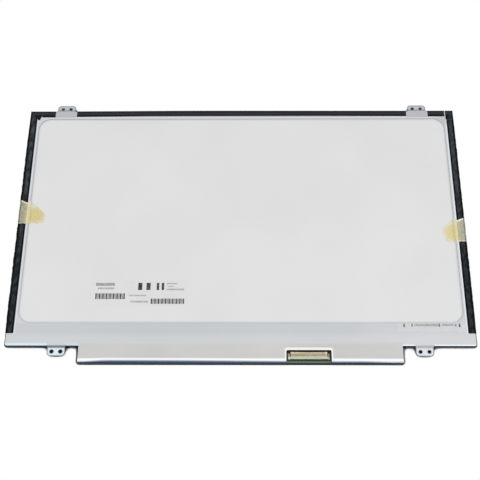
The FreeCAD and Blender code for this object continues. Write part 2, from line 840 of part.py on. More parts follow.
# Parts soldered on the board
def flat_chip(label, middle_x, length, width, height):
    """Moulded package with its upper edges bevelled."""
    body = block(label, middle_x, part_y, length, width, board_back, height)
    doc.recompute()
    crest = body.Shape.BoundBox.ZMax
    chamfer(body, "part_chamfer", lambda edge: abs(edge.BoundBox.ZMin - crest) < SAME)


def coil(label, middle_x):
    """Shielded inductor: square ferrite with a ring groove round its core."""
    body = block(label, middle_x, part_y, "coil_side", "coil_side", board_back, "coil_height")
    fillet(body, "coil_corner", lambda edge: runs_along(edge, "z"))
    groove = new_sketch(body, "XY_Plane", f"{board_back} + coil_height")
    circle(groove, middle_x, part_y, "coil_core")
    circle(groove, middle_x, part_y, "coil_core + coil_groove")
    pocket(body, groove, "coil_dip")


controller_x = f"{tail_x} + controller_from_tail"
flat_chip("timing_controller", controller_x, "controller_side", "controller_side", "controller_height")
memory_x = f"{controller_x} - memory_from_controller"
flat_chip("memory_chip", memory_x, "memory_length", "memory_width", "memory_height")
driver_x = f"{tail_x} + driver_from_tail"
flat_chip("backlight_driver", driver_x, "driver_side", "driver_side", "driver_height")
bias_x = f"{tail_x} + bias_from_tail"
flat_chip("bias_power_chip", bias_x, "bias_side", "bias_side", "bias_height")
coil("boost_inductor", f"{driver_x} + coil_gap")
coil("bias_inductor", f"{bias_x} + coil_gap")


def part_row(label, kind, middle_y):
    """Row of small chip parts, each a brick on the board."""
    first_x = f"{tail_x} + row_from_tail + {kind}_length / 2"
    body = block(label, first_x, middle_y, f"{kind}_length", f"{kind}_width", board_back, f"{kind}_height")
    repeat(body, [body.Tip], f"{kind}_count", f"{kind}_pitch")


part_row("capacitors", "capacitor", f"{board_low} + capacitor_from_edge")
part_row("resistors", "resistor", f"{board_top} - resistor_from_edge")

# Socket that takes the light strip's tail through a slot in its frame-side face
led_socket_top = f"{board_top} - led_socket_gap"
led_socket = block(
    "led_socket",
    tail_x,
    f"{led_socket_top} - led_socket_depth / 2",
    "led_socket_length",
    "led_socket_depth",
    board_back,
    f"{plate_back} - cover_clear - ({board_back})",
)
slot = new_sketch(led_socket, "XZ_Plane", f"-({led_socket_top})")
slot_half = "tail_width / 2 + strip_gap / 2"
slot_low = f"{guide_back} - led_socket_play"
slot_high = f"{guide_back} + reflector_thick + led_socket_play"
rectangle(slot, f"{tail_x} - ({slot_half})", f"{tail_x} + {slot_half}", slot_low, slot_high)
pocket(led_socket, slot, "tail_reach - led_socket_gap + led_socket_play", reverse=True)

# Cover film: laps onto the back frame, spans the board and bends down over its edge
cover = new_body("board_cover_film")
cover_left = f"{board_left} + cover_end_inset"
cover_right = f"{board_right} - cover_end_inset"
cover_inner = f"{board_low} - cover_edge_gap"
cover_outer = f"{cover_inner} - cover_thick"
cover_top = f"cover_lap - ({frame_y})"
skirt_low = f"{array_front} + cover_thick / 2"
section = new_sketch(cover, "YZ_Plane", cover_left)
corners = [
    (cover_top, plate_back),
    (cover_top, f"{plate_back} + cover_thick"),
    (cover_outer, f"{plate_back} + cover_thick"),
    (cover_outer, skirt_low),
    (cover_inner, skirt_low),
    (cover_inner, plate_back),
]
outline(section, corners)
pad(cover, section, f"({cover_right}) - ({cover_left})")
doc.recompute()
cover_box = cover.Shape.BoundBox


def inner_bend(edge):
    """True for the inside line of the bend over the board's edge."""
    depth = size("cover_thick")
    at = edge.CenterOfMass
    low = abs(at.y - cover_box.YMin - depth) < SAME
    return runs_along(edge, "x") and low and abs(at.z - cover_box.ZMax + depth) < SAME


def outer_bend(edge):
    """True for the outside line of the bend over the board's edge."""
    at = edge.CenterOfMass
    return runs_along(edge, "x") and at.y < cover_box.YMin + SAME and at.z > cover_box.ZMax - SAME


fillet(cover, "cover_bend", inner_bend)
fillet(cover, "cover_bend + cover_thick", outer_bend)
gap = new_sketch(cover, "XY_Plane", f"{plate_back} + cover_thick")
gap_half = f"{foot_end} + cover_window_side"
gap_top = f"{socket_back} + contact_thick + contact_foot + cover_window_top"
gap_low = f"{cover_outer} - cover_window_top"
rectangle(gap, f"{socket_x} - ({gap_half})", f"{socket_x} + {gap_half}", gap_low, gap_top)
pocket(cover, gap, f"{plate_back} + cover_thick")


def gap_corner(edge):
    """True for the two inner corners of the gap that leaves the socket open."""
    at = edge.CenterOfMass
    inside = cover_box.YMin + 2 * size("cover_bend") < at.y < cover_box.YMax - SAME
    return runs_along(edge, "z") and inside and cover_box.XMin + SAME < at.x < cover_box.XMax - SAME


fillet(cover, "cover_window_corner", gap_corner)


# Yellow holding tapes: a thin strip that follows the steps of the back, trimmed to a torn-off outline
def yellow_tape(kind, side):
    label = f"yellow_tape_{kind}"
    strip_label = label + "_strip"
    strip_body = new_body(strip_label)
    low = f"yellow_{kind}_low"
    high = f"{low} + yellow_{kind}_height"
    skin = f"{frame_x} + tape_thick + yellow_thick"
    lap_edge = f"{frame_x} - side_tape_lap"
    tip = f"{skin} - yellow_{kind}_reach"
    under = f"{glass_front} - tape_thick"
    lap_front = f"{skin} - yellow_front_lap"
    path = [
        (skin, f"{under} - yellow_thick"),
        (skin, f"{tape_back} + yellow_thick"),
        (lap_edge, f"{tape_back} + yellow_thick"),
        (f"{lap_edge} - yellow_settle", f"{plate_back} + yellow_thick"),
        (window_x, f"{plate_back} + yellow_thick"),
        (f"{window_x} - yellow_settle", f"{plate_front} + yellow_thick"),
        (tip, f"{plate_front} + yellow_thick"),
        (tip, plate_front),
        (f"{window_x} - yellow_settle", plate_front),
        (window_x, plate_back),
        (f"{lap_edge} - yellow_settle", plate_back),
        (lap_edge, tape_back),
        (f"{frame_x} + tape_thick", tape_back),
        (f"{frame_x} + tape_thick", under),
        (lap_front, under),
        (lap_front, f"{under} - yellow_thick"),
    ]
    section = new_sketch(strip_body, "XZ_Plane", f"-({high})")
    outline(section, [(f"{side} * ({across})", up) for across, up in path])
    pad(strip_body, section, f"yellow_{kind}_height")
    shape_label = label + "_outline"
    shape_body = new_body(shape_label)
    shape = new_sketch(shape_body, "XY_Plane", f"{under} - yellow_thick")
    edge_x = f"{side} * ({skin} + yellow_thick)"
    corners = [
        (edge_x, low),
        (f"{side} * ({tip} + yellow_{kind}_slant)", low),
        (f"{side} * ({tip})", f"{low} + yellow_{kind}_tip"),
        (f"{side} * ({skin} - yellow_shoulder)", f"{high} - yellow_{kind}_dip"),
        (edge_x, high),
    ]
    outline(shape, corners)
    pad(shape_body, shape, f"{tape_back} + 2 * yellow_thick")
    doc.recompute()
    box = shape_body.Shape.BoundBox
    inner = min(abs(box.XMin), abs(box.XMax)) + size(f"yellow_{kind}_slant")

    def at_tip(edge):
        return runs_along(edge, "z") and abs(edge.CenterOfMass.x) < inner + SAME

    fillet(shape_body, "yellow_corner", at_tip)
    tape = doc.addObject("Part::Common", label)
    tape.Label = label
    tape.Base = nodes.pop(strip_label)
    tape.Tool = nodes.pop(shape_label)
    nodes[label] = tape


yellow_tape("left", "-1")
yellow_tape("right", "1")

# Labels: one on the white reflector inside the window, one on the back frame below it
main_left = f"main_label_from_side - ({window_x})"
main_low = f"{window_y_low} + main_label_from_low"
slab(
    "main_label",
    main_left,
    f"{main_left} + main_label_width",
    main_low,
    f"{main_low} + main_label_height",
    plate_front,
    "label_thick",
)
serial_right = f"{frame_x} - serial_label_from_side"
serial_top = f"{window_y_low} - serial_label_from_window"
slab(
    "serial_label",
    f"{serial_right} - serial_label_width",
    serial_right,
    f"{serial_top} - serial_label_height",
    serial_top,
    plate_back,
    "label_thick",
)

# Nothing is written unless every object came out whole
doc.recompute()
for thing in doc.Objects:
    if {"Invalid", "Error"} & set(thing.State):
        raise RuntimeError(f"{thing.Label} did not build: {thing.State}")
for label, thing in nodes.items():
    if thing.Shape.isNull() or not thing.Shape.isValid():
        raise RuntimeError(f"{label} has no valid shape")
os.makedirs("parts", exist_ok=True)
for label, thing in nodes.items():
    thing.Shape.exportStep(f"parts/{label}.step")
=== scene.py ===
import math

import bpy
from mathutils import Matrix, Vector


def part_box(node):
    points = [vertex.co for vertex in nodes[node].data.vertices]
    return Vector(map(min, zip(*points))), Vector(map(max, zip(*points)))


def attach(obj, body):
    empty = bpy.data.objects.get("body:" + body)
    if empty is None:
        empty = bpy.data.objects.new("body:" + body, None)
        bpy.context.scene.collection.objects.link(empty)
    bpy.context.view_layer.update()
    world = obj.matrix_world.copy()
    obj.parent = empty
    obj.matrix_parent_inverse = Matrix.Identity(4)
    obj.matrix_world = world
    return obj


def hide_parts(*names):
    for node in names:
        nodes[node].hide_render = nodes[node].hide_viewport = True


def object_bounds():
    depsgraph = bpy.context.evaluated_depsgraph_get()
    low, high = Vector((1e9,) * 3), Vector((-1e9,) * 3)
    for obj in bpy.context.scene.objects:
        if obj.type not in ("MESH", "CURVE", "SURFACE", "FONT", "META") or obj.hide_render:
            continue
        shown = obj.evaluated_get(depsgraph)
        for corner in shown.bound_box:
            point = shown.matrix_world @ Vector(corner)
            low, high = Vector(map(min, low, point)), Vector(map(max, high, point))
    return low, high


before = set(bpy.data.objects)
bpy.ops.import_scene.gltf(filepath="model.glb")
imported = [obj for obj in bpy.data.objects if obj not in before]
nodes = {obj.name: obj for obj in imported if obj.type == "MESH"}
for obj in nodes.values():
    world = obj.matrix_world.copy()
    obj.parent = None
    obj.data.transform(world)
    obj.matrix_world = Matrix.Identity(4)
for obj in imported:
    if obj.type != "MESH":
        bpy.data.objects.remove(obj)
cad_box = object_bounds()

# Display cell: two thin glasses between dark polarising films. The films are laminated on, the front
# one with an anti-glare haze, and the cell lies face down under everything else.
MM = 0.001


def screen(red, green, blue):
    """Colour for a shader socket from the shade seen on a screen, 0 to 255."""
    linear = []
    for channel in (red, green, blue):
        part = channel / 255
        linear.append(part / 12.92 if part <= 0.04045 else ((part + 0.055) / 1.055) ** 2.4)
    return linear + [1.0]


def feed(tree, socket, value):
    """Give a socket a value, or link it to another node's output."""
    if isinstance(value, bpy.types.NodeSocket):
        tree.links.new(value, socket)
    else:
        socket.default_value = value


def add_node(tree, kind, inputs, **settings):
    """New node of a finish, with settings, and inputs that are values or other nodes' outputs."""
    made = tree.nodes.new(kind)
    for name, value in settings.items():
        setattr(made, name, value)
    for name, value in inputs.items():
        feed(tree, made.inputs[name], value)
    return made


def new_finish(name, roughness, metallic=0.0, gloss=0.5):
    """Bare finish with the even values of its shader set."""
    finish = bpy.data.materials.new(name)
    finish.use_nodes = True
    shader = finish.node_tree.nodes["Principled BSDF"]
    shader.inputs["Roughness"].default_value = roughness
    shader.inputs["Metallic"].default_value = metallic
    shader.inputs["Specular IOR Level"].default_value = gloss
    return finish, finish.node_tree, shader


def cloud(tree, patch, stretch=(1, 1, 1), detail=3.0):
    """Noise fixed to the piece, in patches of a size in metres, longer where stretch is over 1."""
    place = add_node(tree, "ShaderNodeTexCoord", {})
    scale = [1 / (patch * length) for length in stretch]
    spread = add_node(tree, "ShaderNodeMapping", {"Vector": place.outputs["Object"], "Scale": scale})
    noise = {"Vector": spread.outputs["Vector"], "Scale": 1.0, "Detail": detail}
    return add_node(tree, "ShaderNodeTexNoise", noise).outputs["Fac"]


def shade_between(tree, factor, dark, light, low=0.35, high=0.65):
    """Colour that goes from dark to light as the factor goes from low to high."""
    ramp = add_node(tree, "ShaderNodeValToRGB", {"Fac": factor})
    for stop, place, colour in zip(ramp.color_ramp.elements, (low, high), (dark, light)):
        stop.position = place
        stop.color = colour
    return ramp.outputs["Color"]


def tint(tree, shader, tone):
    """Give the finish its colour."""
    tree.links.new(tone, shader.inputs["Base Color"])


def roughen(tree, shader, height, bump):
    """Relief of the given height in metres on the finish."""
    relief = add_node(tree, "ShaderNodeBump", {"Height": height, "Distance": bump, "Strength": 1.0})
    tree.links.new(relief.outputs["Normal"], shader.inputs["Normal"])


def mottled_finish(name, dark, light, patch, roughness, metallic=0.0, gloss=0.5, bump=0.0):
    """Finish whose colour drifts between two shades over patches, with relief of the same grain."""
    finish, tree, shader = new_finish(name, roughness, metallic, gloss)
    drift = cloud(tree, patch)
    tint(tree, shader, shade_between(tree, drift, dark, light))
    if bump:
        roughen(tree, shader, drift, bump)
    return finish


def dress(finish, *names):
    """Give CAD nodes a finish."""
    for name in names:
        nodes[name].data.materials.clear()
        nodes[name].data.materials.append(finish)


haze = 0.05 * MM
haze_relief = 0.002 * MM
haze_dark = screen(16, 17, 19)
haze_light = screen(22, 23, 26)
front_film = mottled_finish(
    "anti_glare_film", haze_dark, haze_light, haze, roughness=0.32, gloss=0.4, bump=haze_relief
)
dress(front_film, "front_polariser")
glass = mottled_finish("cell_glass", screen(52, 62, 60), screen(62, 72, 70), 4 * MM, roughness=0.08)
dress(glass, "colour_filter_glass", "array_glass")
rear_film = mottled_finish("rear_film", screen(30, 30, 33), screen(38, 38, 41), 6 * MM, roughness=0.25)
dress(rear_film, "rear_polariser")

# Driver films: amber polyimide with fine copper lines, each carrying a bare driver chip. They are bonded
# under the glass ledge and under the circuit board.
film_numbers = range(1, 5)
trace_pitch = 0.4 * MM
wave_factor = 20
wave_scale = 2 * math.pi / (wave_factor * trace_pitch)
amber, tree, shader = new_finish("amber_film", roughness=0.35)
place = add_node(tree, "ShaderNodeTexCoord", {})
lines = {"Vector": place.outputs["Object"], "Scale": wave_scale, "Distortion": 0.0}
traces = add_node(tree, "ShaderNodeTexWave", lines, bands_direction="X").outputs["Fac"]
tint(tree, shader, shade_between(tree, traces, screen(150, 84, 30), screen(196, 124, 48), 0.4, 0.6))
dress(amber, *[f"driver_film_{number}" for number in film_numbers])
silicon = mottled_finish("bare_silicon", screen(84, 86, 98), screen(104, 106, 118), 1 * MM, 0.18)
dress(silicon, *[f"driver_chip_{number}" for number in film_numbers])

# Frame and light stack: a moulded black frame holds the cell, a light guide, clear prism and diffuser
# films and a white reflector film. The films hang on lugs in the frame's notches.
window_side = 7.2 * MM
window_top = 7.0 * MM
window_low = 16.8 * MM
window_corner = 9.0 * MM
frame_low, frame_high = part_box("mould_frame")
window_left_low = (frame_low.x + window_side, frame_low.y + window_low)
window_right_top = (frame_high.x - window_side, frame_high.y - window_top)


def calc(tree, operation, first, second=0.0):
    """Arithmetic on two numbers of a finish."""
    node = add_node(tree, "ShaderNodeMath", {}, operation=operation)
    for socket, value in zip(node.inputs, (first, second)):
        feed(tree, socket, value)
    return node.outputs["Value"]


def object_axis(tree, axis):
    """Place on the piece along X, Y or Z, in metres."""
    place = add_node(tree, "ShaderNodeTexCoord", {})
    split = add_node(tree, "ShaderNodeSeparateXYZ", {"Vector": place.outputs["Object"]})
    return split.outputs[axis]


def step_length(tree, across, along):
    """Straight length of a step that goes so far across and so far along."""
    squares = [calc(tree, "POWER", side, 2.0) for side in (across, along)]
    return calc(tree, "SQRT", calc(tree, "ADD", *squares))


def past_outline(tree, places, halves, corner):
    """Distance past a round-cornered rectangle, under 0 inside it, for a place from its middle."""
    overs = []
    for place, half in zip(places, halves):
        overs.append(calc(tree, "SUBTRACT", calc(tree, "ABSOLUTE", place), half - corner))
    outside = step_length(tree, *[calc(tree, "MAXIMUM", over, 0.0) for over in overs])
    inside = calc(tree, "MINIMUM", calc(tree, "MAXIMUM", *overs), 0.0)
    return calc(tree, "SUBTRACT", calc(tree, "ADD", outside, inside), corner)


def past_box(tree, low, high, corner):
    """Distance out from the edge of a round-cornered rectangle on the piece, under 0 inside it."""
    places = []
    halves = []
    for axis, start, end in zip("XY", low, high):
        places.append(calc(tree, "SUBTRACT", object_axis(tree, axis), (start + end) / 2))
        halves.append((end - start) / 2)
    return past_outline(tree, places, halves, corner)


def from_window_edge(tree):
    """Distance in metres out from the edge of the back window, under 0 inside it."""
    return past_box(tree, window_left_low, window_right_top, window_corner)


def ramp_between(tree, value, start, end):
    """Goes smoothly from 0 to 1 as a value goes from start to end."""
    numbers = {"Value": value, "From Min": start, "From Max": end}
    eased = add_node(tree, "ShaderNodeMapRange", numbers, interpolation_type="SMOOTHSTEP")
    return eased.outputs["Result"]


def mix_colours(tree, mask, first, second):
    """First colour where the mask is 0, second where it is 1."""
    mix = add_node(tree, "ShaderNodeMix", {}, data_type="RGBA")
    for place, value in ((0, mask), (6, first), (7, second)):
        feed(tree, mix.inputs[place], value)
    return mix.outputs[2]


def facing_along(tree, axis):
    """How far the surface faces along X, Y or Z, from -1 to 1."""
    facing = add_node(tree, "ShaderNodeNewGeometry", {}).outputs["Normal"]
    return add_node(tree, "ShaderNodeSeparateXYZ", {"Vector": facing}).outputs[axis]


black_plastic, tree, shader = new_finish("black_moulding", roughness=0.5, gloss=0.2)
moulding_relief = 0.01 * MM
spark = cloud(tree, 0.4 * MM)
moulded = shade_between(tree, spark, screen(12, 16, 22), screen(22, 26, 33))
# Painted reflection on the frame's walls that face the low edge: bluish, lighter to the right
low_side_reflection = ramp_between(tree, facing_along(tree, "Y"), -0.6, -0.9)
to_right = ramp_between(tree, object_axis(tree, "X"), 60 * MM, 120 * MM)
painted_side_tone = mix_colours(tree, to_right, screen(14, 36, 50), screen(56, 68, 80))
tint(tree, shader, mix_colours(tree, low_side_reflection, moulded, painted_side_tone))
roughen(tree, shader, spark, moulding_relief)
dress(black_plastic, "mould_frame", "light_shield_tape")
clear_film = mottled_finish("prism_film", screen(214, 217, 220), screen(226, 229, 232), 30 * MM, 0.2)
dress(clear_film, "upper_prism_sheet", "lower_prism_sheet", "diffuser_sheet", "light_guide")
white_film, tree, shader = new_finish("white_reflector", roughness=0.42, gloss=0.35)
gentle = (0.3, 0.7)
satin_relief = 0.004 * MM
drift = cloud(tree, 70 * MM, detail=2.0)
field = shade_between(tree, drift, screen(220, 220, 221), screen(225, 225, 226), *gentle)
# Painted shade on the reflector along the window's edge
edge = ramp_between(tree, from_window_edge(tree), -2.0 * MM, 0.1 * MM)
tint(tree, shader, mix_colours(tree, edge, field, screen(203, 204, 205)))
roughen(tree, shader, cloud(tree, 0.3 * MM), satin_relief)
dress(white_film, "reflector_sheet")

# Light strip: a white coated flexible board with a row of small side-firing lamps, stuck in the frame's
# trough, and a tail that runs out to its socket on the circuit board.
strip_coat = mottled_finish("strip_coat", screen(226, 224, 214), screen(234, 232, 224), 3 * MM, 0.5)
dress(strip_coat, "led_strip")
lamp_mould = mottled_finish("lamp_moulding", screen(236, 226, 176), screen(244, 238, 206), 1 * MM, 0.35)
dress(lamp_mould, "led_packages")


# Back frame: thin satin steel sheet, stamped with a round-cornered window and four stepped screw ears.
# It clips over the moulded frame, and its grain runs along the rolling direction. Painted highlights and
# painted shade lie along its bends, hole rims, ear edges and window rim, and beside the tapes.
def invert(tree, mask):
    """1 where a mask is 0, and 0 where it is 1."""
    return calc(tree, "SUBTRACT", 1.0, mask)


def where_all(tree, mask, *others):
    """Product of masks, which is 1 only where each of them is."""
    for other in others:
        mask = calc(tree, "MULTIPLY", mask, other)
    return mask


def off_middle(tree, value, middle):
    """How far a value lies from a middle, to either side."""
    return calc(tree, "ABSOLUTE", calc(tree, "SUBTRACT", value, middle))


def from_outside(tree):
    """Distance in metres in from the frame's nearest side or from its top."""
    across = calc(tree, "ABSOLUTE", object_axis(tree, "X"))
    from_side = calc(tree, "SUBTRACT", frame_high.x, across)
    from_top = calc(tree, "SUBTRACT", frame_high.y, object_axis(tree, "Y"))
    return calc(tree, "MINIMUM", from_side, from_top)


def off_flat(tree):
    """1 on cut faces and walls, which turn away from the back, and 0 on the flat."""
    return ramp_between(tree, facing_along(tree, "Z"), 0.75, 0.45)


steel, tree, shader = new_finish("satin_steel", roughness=0.36, metallic=0.75)
grain_share = 0.3
patches = cloud(tree, 45 * MM, stretch=(2.2, 1, 1), detail=2.0)
streaks = cloud(tree, 0.5 * MM, stretch=(60, 1, 1))
sheet_tone = shade_between(tree, patches, screen(196, 199, 202), screen(210, 213, 216), *gentle)
grain_tone = shade_between(tree, streaks, screen(188, 191, 194), screen(214, 216, 219), *gentle)
bare = mix_colours(tree, grain_share, sheet_tone, grain_tone)
place_x = object_axis(tree, "X")
place_y = object_axis(tree, "Y")
from_centre = calc(tree, "ABSOLUTE", place_x)
to_right = ramp_between(tree, place_x, 30 * MM, 110 * MM)

# Painted shade along the window's rim, and painted shading on the band of sheet below it, darker towards
# the window and paler to the right
window_rim_shade = ramp_between(tree, from_window_edge(tree), 0.9 * MM, 0.2 * MM)
tone = mix_colours(tree, window_rim_shade, bare, screen(199, 201, 204))
down_band = ramp_between(tree, place_y, -83.0 * MM, -88.5 * MM)
band_dark = mix_colours(tree, to_right, screen(189, 194, 195), screen(204, 205, 208))
band_light = mix_colours(tree, to_right, screen(205, 208, 210), screen(213, 213, 215))
band_tone = mix_colours(tree, down_band, band_dark, band_light)
band_share = 0.5
window_edge = window_left_low[1]
below_window = ramp_between(tree, place_y, window_edge - 0.1 * MM, window_edge - 0.5 * MM)
tone = mix_colours(tree, where_all(tree, below_window, band_share), tone, band_tone)

# Painted highlight beside the tapes, painted shade where they touch, steel darkened under the side tapes,
# greyer bare steel at the top, and painted shade in the top right corner
inward = from_outside(tree)
top_ear_x = 133.0 * MM
# Painted highlight on the steel beside the tapes
tape_edge_highlight = where_all(
    tree,
    ramp_between(tree, inward, 6.4 * MM, 5.8 * MM),
    ramp_between(tree, inward, 4.2 * MM, 4.6 * MM),
    ramp_between(tree, place_y, -86.0 * MM, -84.0 * MM),
    ramp_between(tree, off_middle(tree, from_centre, top_ear_x), 7.4 * MM, 8.4 * MM),
)
along_top = ramp_between(tree, place_y, 86.0 * MM, 87.5 * MM)
tape_edge_highlight_tone = mix_colours(tree, along_top, screen(230, 232, 235), screen(215, 217, 220))
tone = mix_colours(tree, tape_edge_highlight, tone, tape_edge_highlight_tone)
left_side = calc(tree, "ADD", place_x, frame_high.x)
contact = where_all(
    tree,
    ramp_between(tree, left_side, 5.9 * MM, 5.2 * MM),
    ramp_between(tree, place_y, -85.0 * MM, -84.0 * MM),
)
under_top = ramp_between(tree, place_y, frame_high.y - 5.3 * MM, frame_high.y - 4.6 * MM)
tone = mix_colours(tree, calc(tree, "MAXIMUM", contact, under_top), tone, screen(122, 125, 130))
grey_share = 0.6
top_grey = mix_colours(tree, grey_share, bare, screen(168, 172, 177))
bare_top = ramp_between(tree, place_y, 89.0 * MM, 89.5 * MM)
tone = mix_colours(tree, bare_top, tone, top_grey)
# Steel darkened under the side tapes' inner edges
dark_under_side_tapes = where_all(
    tree,
    ramp_between(tree, calc(tree, "SUBTRACT", frame_high.x, from_centre), 4.9 * MM, 4.6 * MM),
    ramp_between(tree, place_y, -84.0 * MM, -83.0 * MM),
    ramp_between(tree, place_y, 88.6 * MM, 88.2 * MM),
)
tone = mix_colours(tree, dark_under_side_tapes, tone, screen(30, 31, 34))
corner_depth = 0.5
corner_shade = where_all(
    tree,
    ramp_between(tree, place_x, 141 * MM, 150 * MM),
    ramp_between(tree, place_y, 78 * MM, 84 * MM),
    corner_depth,
)
tone = mix_colours(tree, corner_shade, tone, screen(178, 181, 177))

# Painted highlight along the bend at the low edge, on both sides of the low ears, and painted shade at
# the roots of the low ears
low_ear_x = 124.6 * MM
low_ear_half = 6.2 * MM
off_ear = off_middle(tree, from_centre, low_ear_x)
by_ear = ramp_between(tree, off_ear, low_ear_half + 0.6 * MM, low_ear_half)
clear_of_ear = invert(tree, by_ear)
gap_fade = 0.7
left_gap = where_all(
    tree,
    ramp_between(tree, place_x, -120 * MM, -118 * MM),
    ramp_between(tree, place_x, -90 * MM, -100 * MM),
    gap_fade,
)
low_edge_highlight = ramp_between(tree, place_y, -91.2 * MM, -92.2 * MM)
low_edge_highlight = where_all(tree, low_edge_highlight, clear_of_ear, invert(tree, left_gap))
low_edge_highlight_tone = mix_colours(tree, to_right, screen(213, 227, 238), screen(204, 212, 220))
tone = mix_colours(tree, low_edge_highlight, tone, low_edge_highlight_tone)
right_glint = where_all(tree, ramp_between(tree, place_y, -92.6 * MM, -92.9 * MM), to_right)
edge_glint = calc(tree, "MAXIMUM", ramp_between(tree, place_y, -93.1 * MM, -93.5 * MM), right_glint)
edge_glint_tone = mix_colours(tree, to_right, screen(224, 242, 255), screen(248, 254, 255))
tone = mix_colours(tree, where_all(tree, edge_glint, clear_of_ear), tone, edge_glint_tone)
# Painted shade at the roots of the low ears
ear_root_shade = where_all(tree, ramp_between(tree, place_y, -92.9 * MM, -93.6 * MM), by_ear)
ear_root_shade_tone = mix_colours(tree, to_right, screen(138, 149, 157), screen(172, 177, 182))
tone = mix_colours(tree, ear_root_shade, tone, ear_root_shade_tone)

# Ears: painted light makes the low ears paler and painted shade makes the top ears darker than the sheet,
# with painted shade at their step and along their edge
steel_low, steel_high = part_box("back_frame")
ear_shade_tone = screen(106, 114, 124)
low_ear_painted_tone = mix_colours(tree, to_right, screen(219, 229, 236), screen(221, 224, 229))
low_shade = mix_colours(tree, to_right, ear_shade_tone, screen(172, 177, 184))
low_ear = (low_ear_painted_tone, 1.1 * MM, 0.4 * MM, low_shade)
top_ear = (screen(188, 191, 195), 2.8 * MM, 0.2 * MM, screen(138, 144, 148))
top_ear_half = 6.8 * MM
ear_root = 94.0 * MM
ear_span = 10 * MM
ears = (
    (low_ear_x, low_ear_half, steel_low.y, 1, 2.6 * MM, -ear_root, low_ear),
    (top_ear_x, top_ear_half, steel_high.y, -1, 2.4 * MM, ear_root, top_ear),
)
for ear_x, ear_half, ear_end, inwards, ear_corner, root, shading in ears:
    ear_painted_tone, shade_from, shade_to, shade_tone = shading
    past_root = calc(tree, "MULTIPLY", calc(tree, "SUBTRACT", root, place_y), inwards)
    on_ear = ramp_between(tree, past_root, 0.0, 0.1 * MM)
    across = calc(tree, "SUBTRACT", from_centre, ear_x)
    along = calc(tree, "SUBTRACT", place_y, ear_end + inwards * ear_span)
    past_ear = past_outline(tree, (across, along), (ear_half, ear_span), ear_corner)
    ear_edge_shade = ramp_between(tree, past_ear, -0.9 * MM, -0.1 * MM)
    step_shade = ramp_between(tree, past_root, shade_from, shade_to)
    ear_colour = mix_colours(tree, step_shade, ear_painted_tone, shade_tone)
    ear_colour = mix_colours(tree, ear_edge_shade, ear_colour, ear_shade_tone)
    tone = mix_colours(tree, on_ear, tone, ear_colour)

# Painted shade round the screw holes in the low ears and on the cut faces
hole_apart = 6.0 * MM
hole_radius = 1.25 * MM
hole_y = -97.5 * MM
off_hole_x = calc(tree, "SUBTRACT", off_ear, hole_apart / 2)
off_hole_y = calc(tree, "SUBTRACT", place_y, hole_y)
off_hole = step_length(tree, off_hole_x, off_hole_y)
hole_rim_shade = ramp_between(tree, off_hole, hole_radius + 0.6 * MM, hole_radius + 0.15 * MM)
hole_rim_shade_tone = mix_colours(tree, to_right, screen(124, 136, 146), screen(176, 184, 190))
tone = mix_colours(tree, hole_rim_shade, tone, hole_rim_shade_tone)
tint(tree, shader, mix_colours(tree, off_flat(tree), tone, screen(132, 140, 149)))
roughen(tree, shader, streaks, satin_relief)
dress(steel, "back_frame")

# Edge tapes: satin black polyester film, stuck on by hand along the sides and the top, so that its inner
# edge lies a little askew. It is folded down the frame and under the cell, stands off in creases at the
# sides, and leaves gaps at the ears.
tape_patch = 2.6 * MM
tape_relief = 0.02 * MM
tape, tree, shader = new_finish("black_edge_tape", roughness=0.5, gloss=0.06)
drift = cloud(tree, tape_patch, stretch=(1, 1.6, 1))
# Painted sheen: the tape lighter towards the top
low_body = shade_between(tree, drift, screen(12, 16, 19), screen(54, 58, 62), *gentle)
high_body = shade_between(tree, drift, screen(24, 28, 32), screen(72, 75, 79), *gentle)
place_y = object_axis(tree, "Y")
upward = ramp_between(tree, place_y, -45 * MM, 45 * MM)
body = mix_colours(tree, upward, low_body, high_body)
inward = from_outside(tree)
# Painted shade at the outer fold and along the inner cut edge
fold = ramp_between(tree, inward, 1.9 * MM, 0.8 * MM)
inner_cut_shade = ramp_between(tree, inward, 3.7 * MM, 4.5 * MM)
painted_side_tone = mix_colours(tree, calc(tree, "MAXIMUM", fold, inner_cut_shade), body, screen(5, 7, 10))
stretched = cloud(tree, tape_patch, stretch=(16, 1, 1))
top_body = shade_between(tree, stretched, screen(46, 49, 51), screen(58, 61, 63), *gentle)
# Painted shade at the top tape's fold and cut edge
top_fold_shade = ramp_between(tree, inward, 2.2 * MM, 1.4 * MM)
top_tone = mix_colours(tree, top_fold_shade, top_body, screen(36, 39, 41))
top_cut_shade = ramp_between(tree, inward, 2.6 * MM, 3.3 * MM)
top_tone = mix_colours(tree, top_cut_shade, top_tone, screen(24, 27, 29))
on_top = ramp_between(tree, place_y, 88.4 * MM, 89.0 * MM)
tint(tree, shader, mix_colours(tree, on_top, painted_side_tone, top_tone))
roughen(tree, shader, cloud(tree, 1.2 * MM, stretch=(1, 2, 1)), tape_relief)


def share(value, start, end):
    """Goes evenly from 0 to 1 as a value goes from start to end, and no further."""
    return max(0.0, min(1.0, (value - start) / (end - start)))


def apply_modifier(piece, name, kind, **settings):
    """Add a modifier, set it and apply it."""
    modifier = piece.modifiers.new(name, kind)
    for key, value in settings.items():
        setattr(modifier, key, value)
    bpy.context.view_layer.objects.active = piece
    bpy.ops.object.modifier_apply(modifier=name)


merge_gap = 0.001 * MM
cut_gap = 0.0001 * MM
flat_angle = math.radians(1)
soft_angle = math.radians(30)


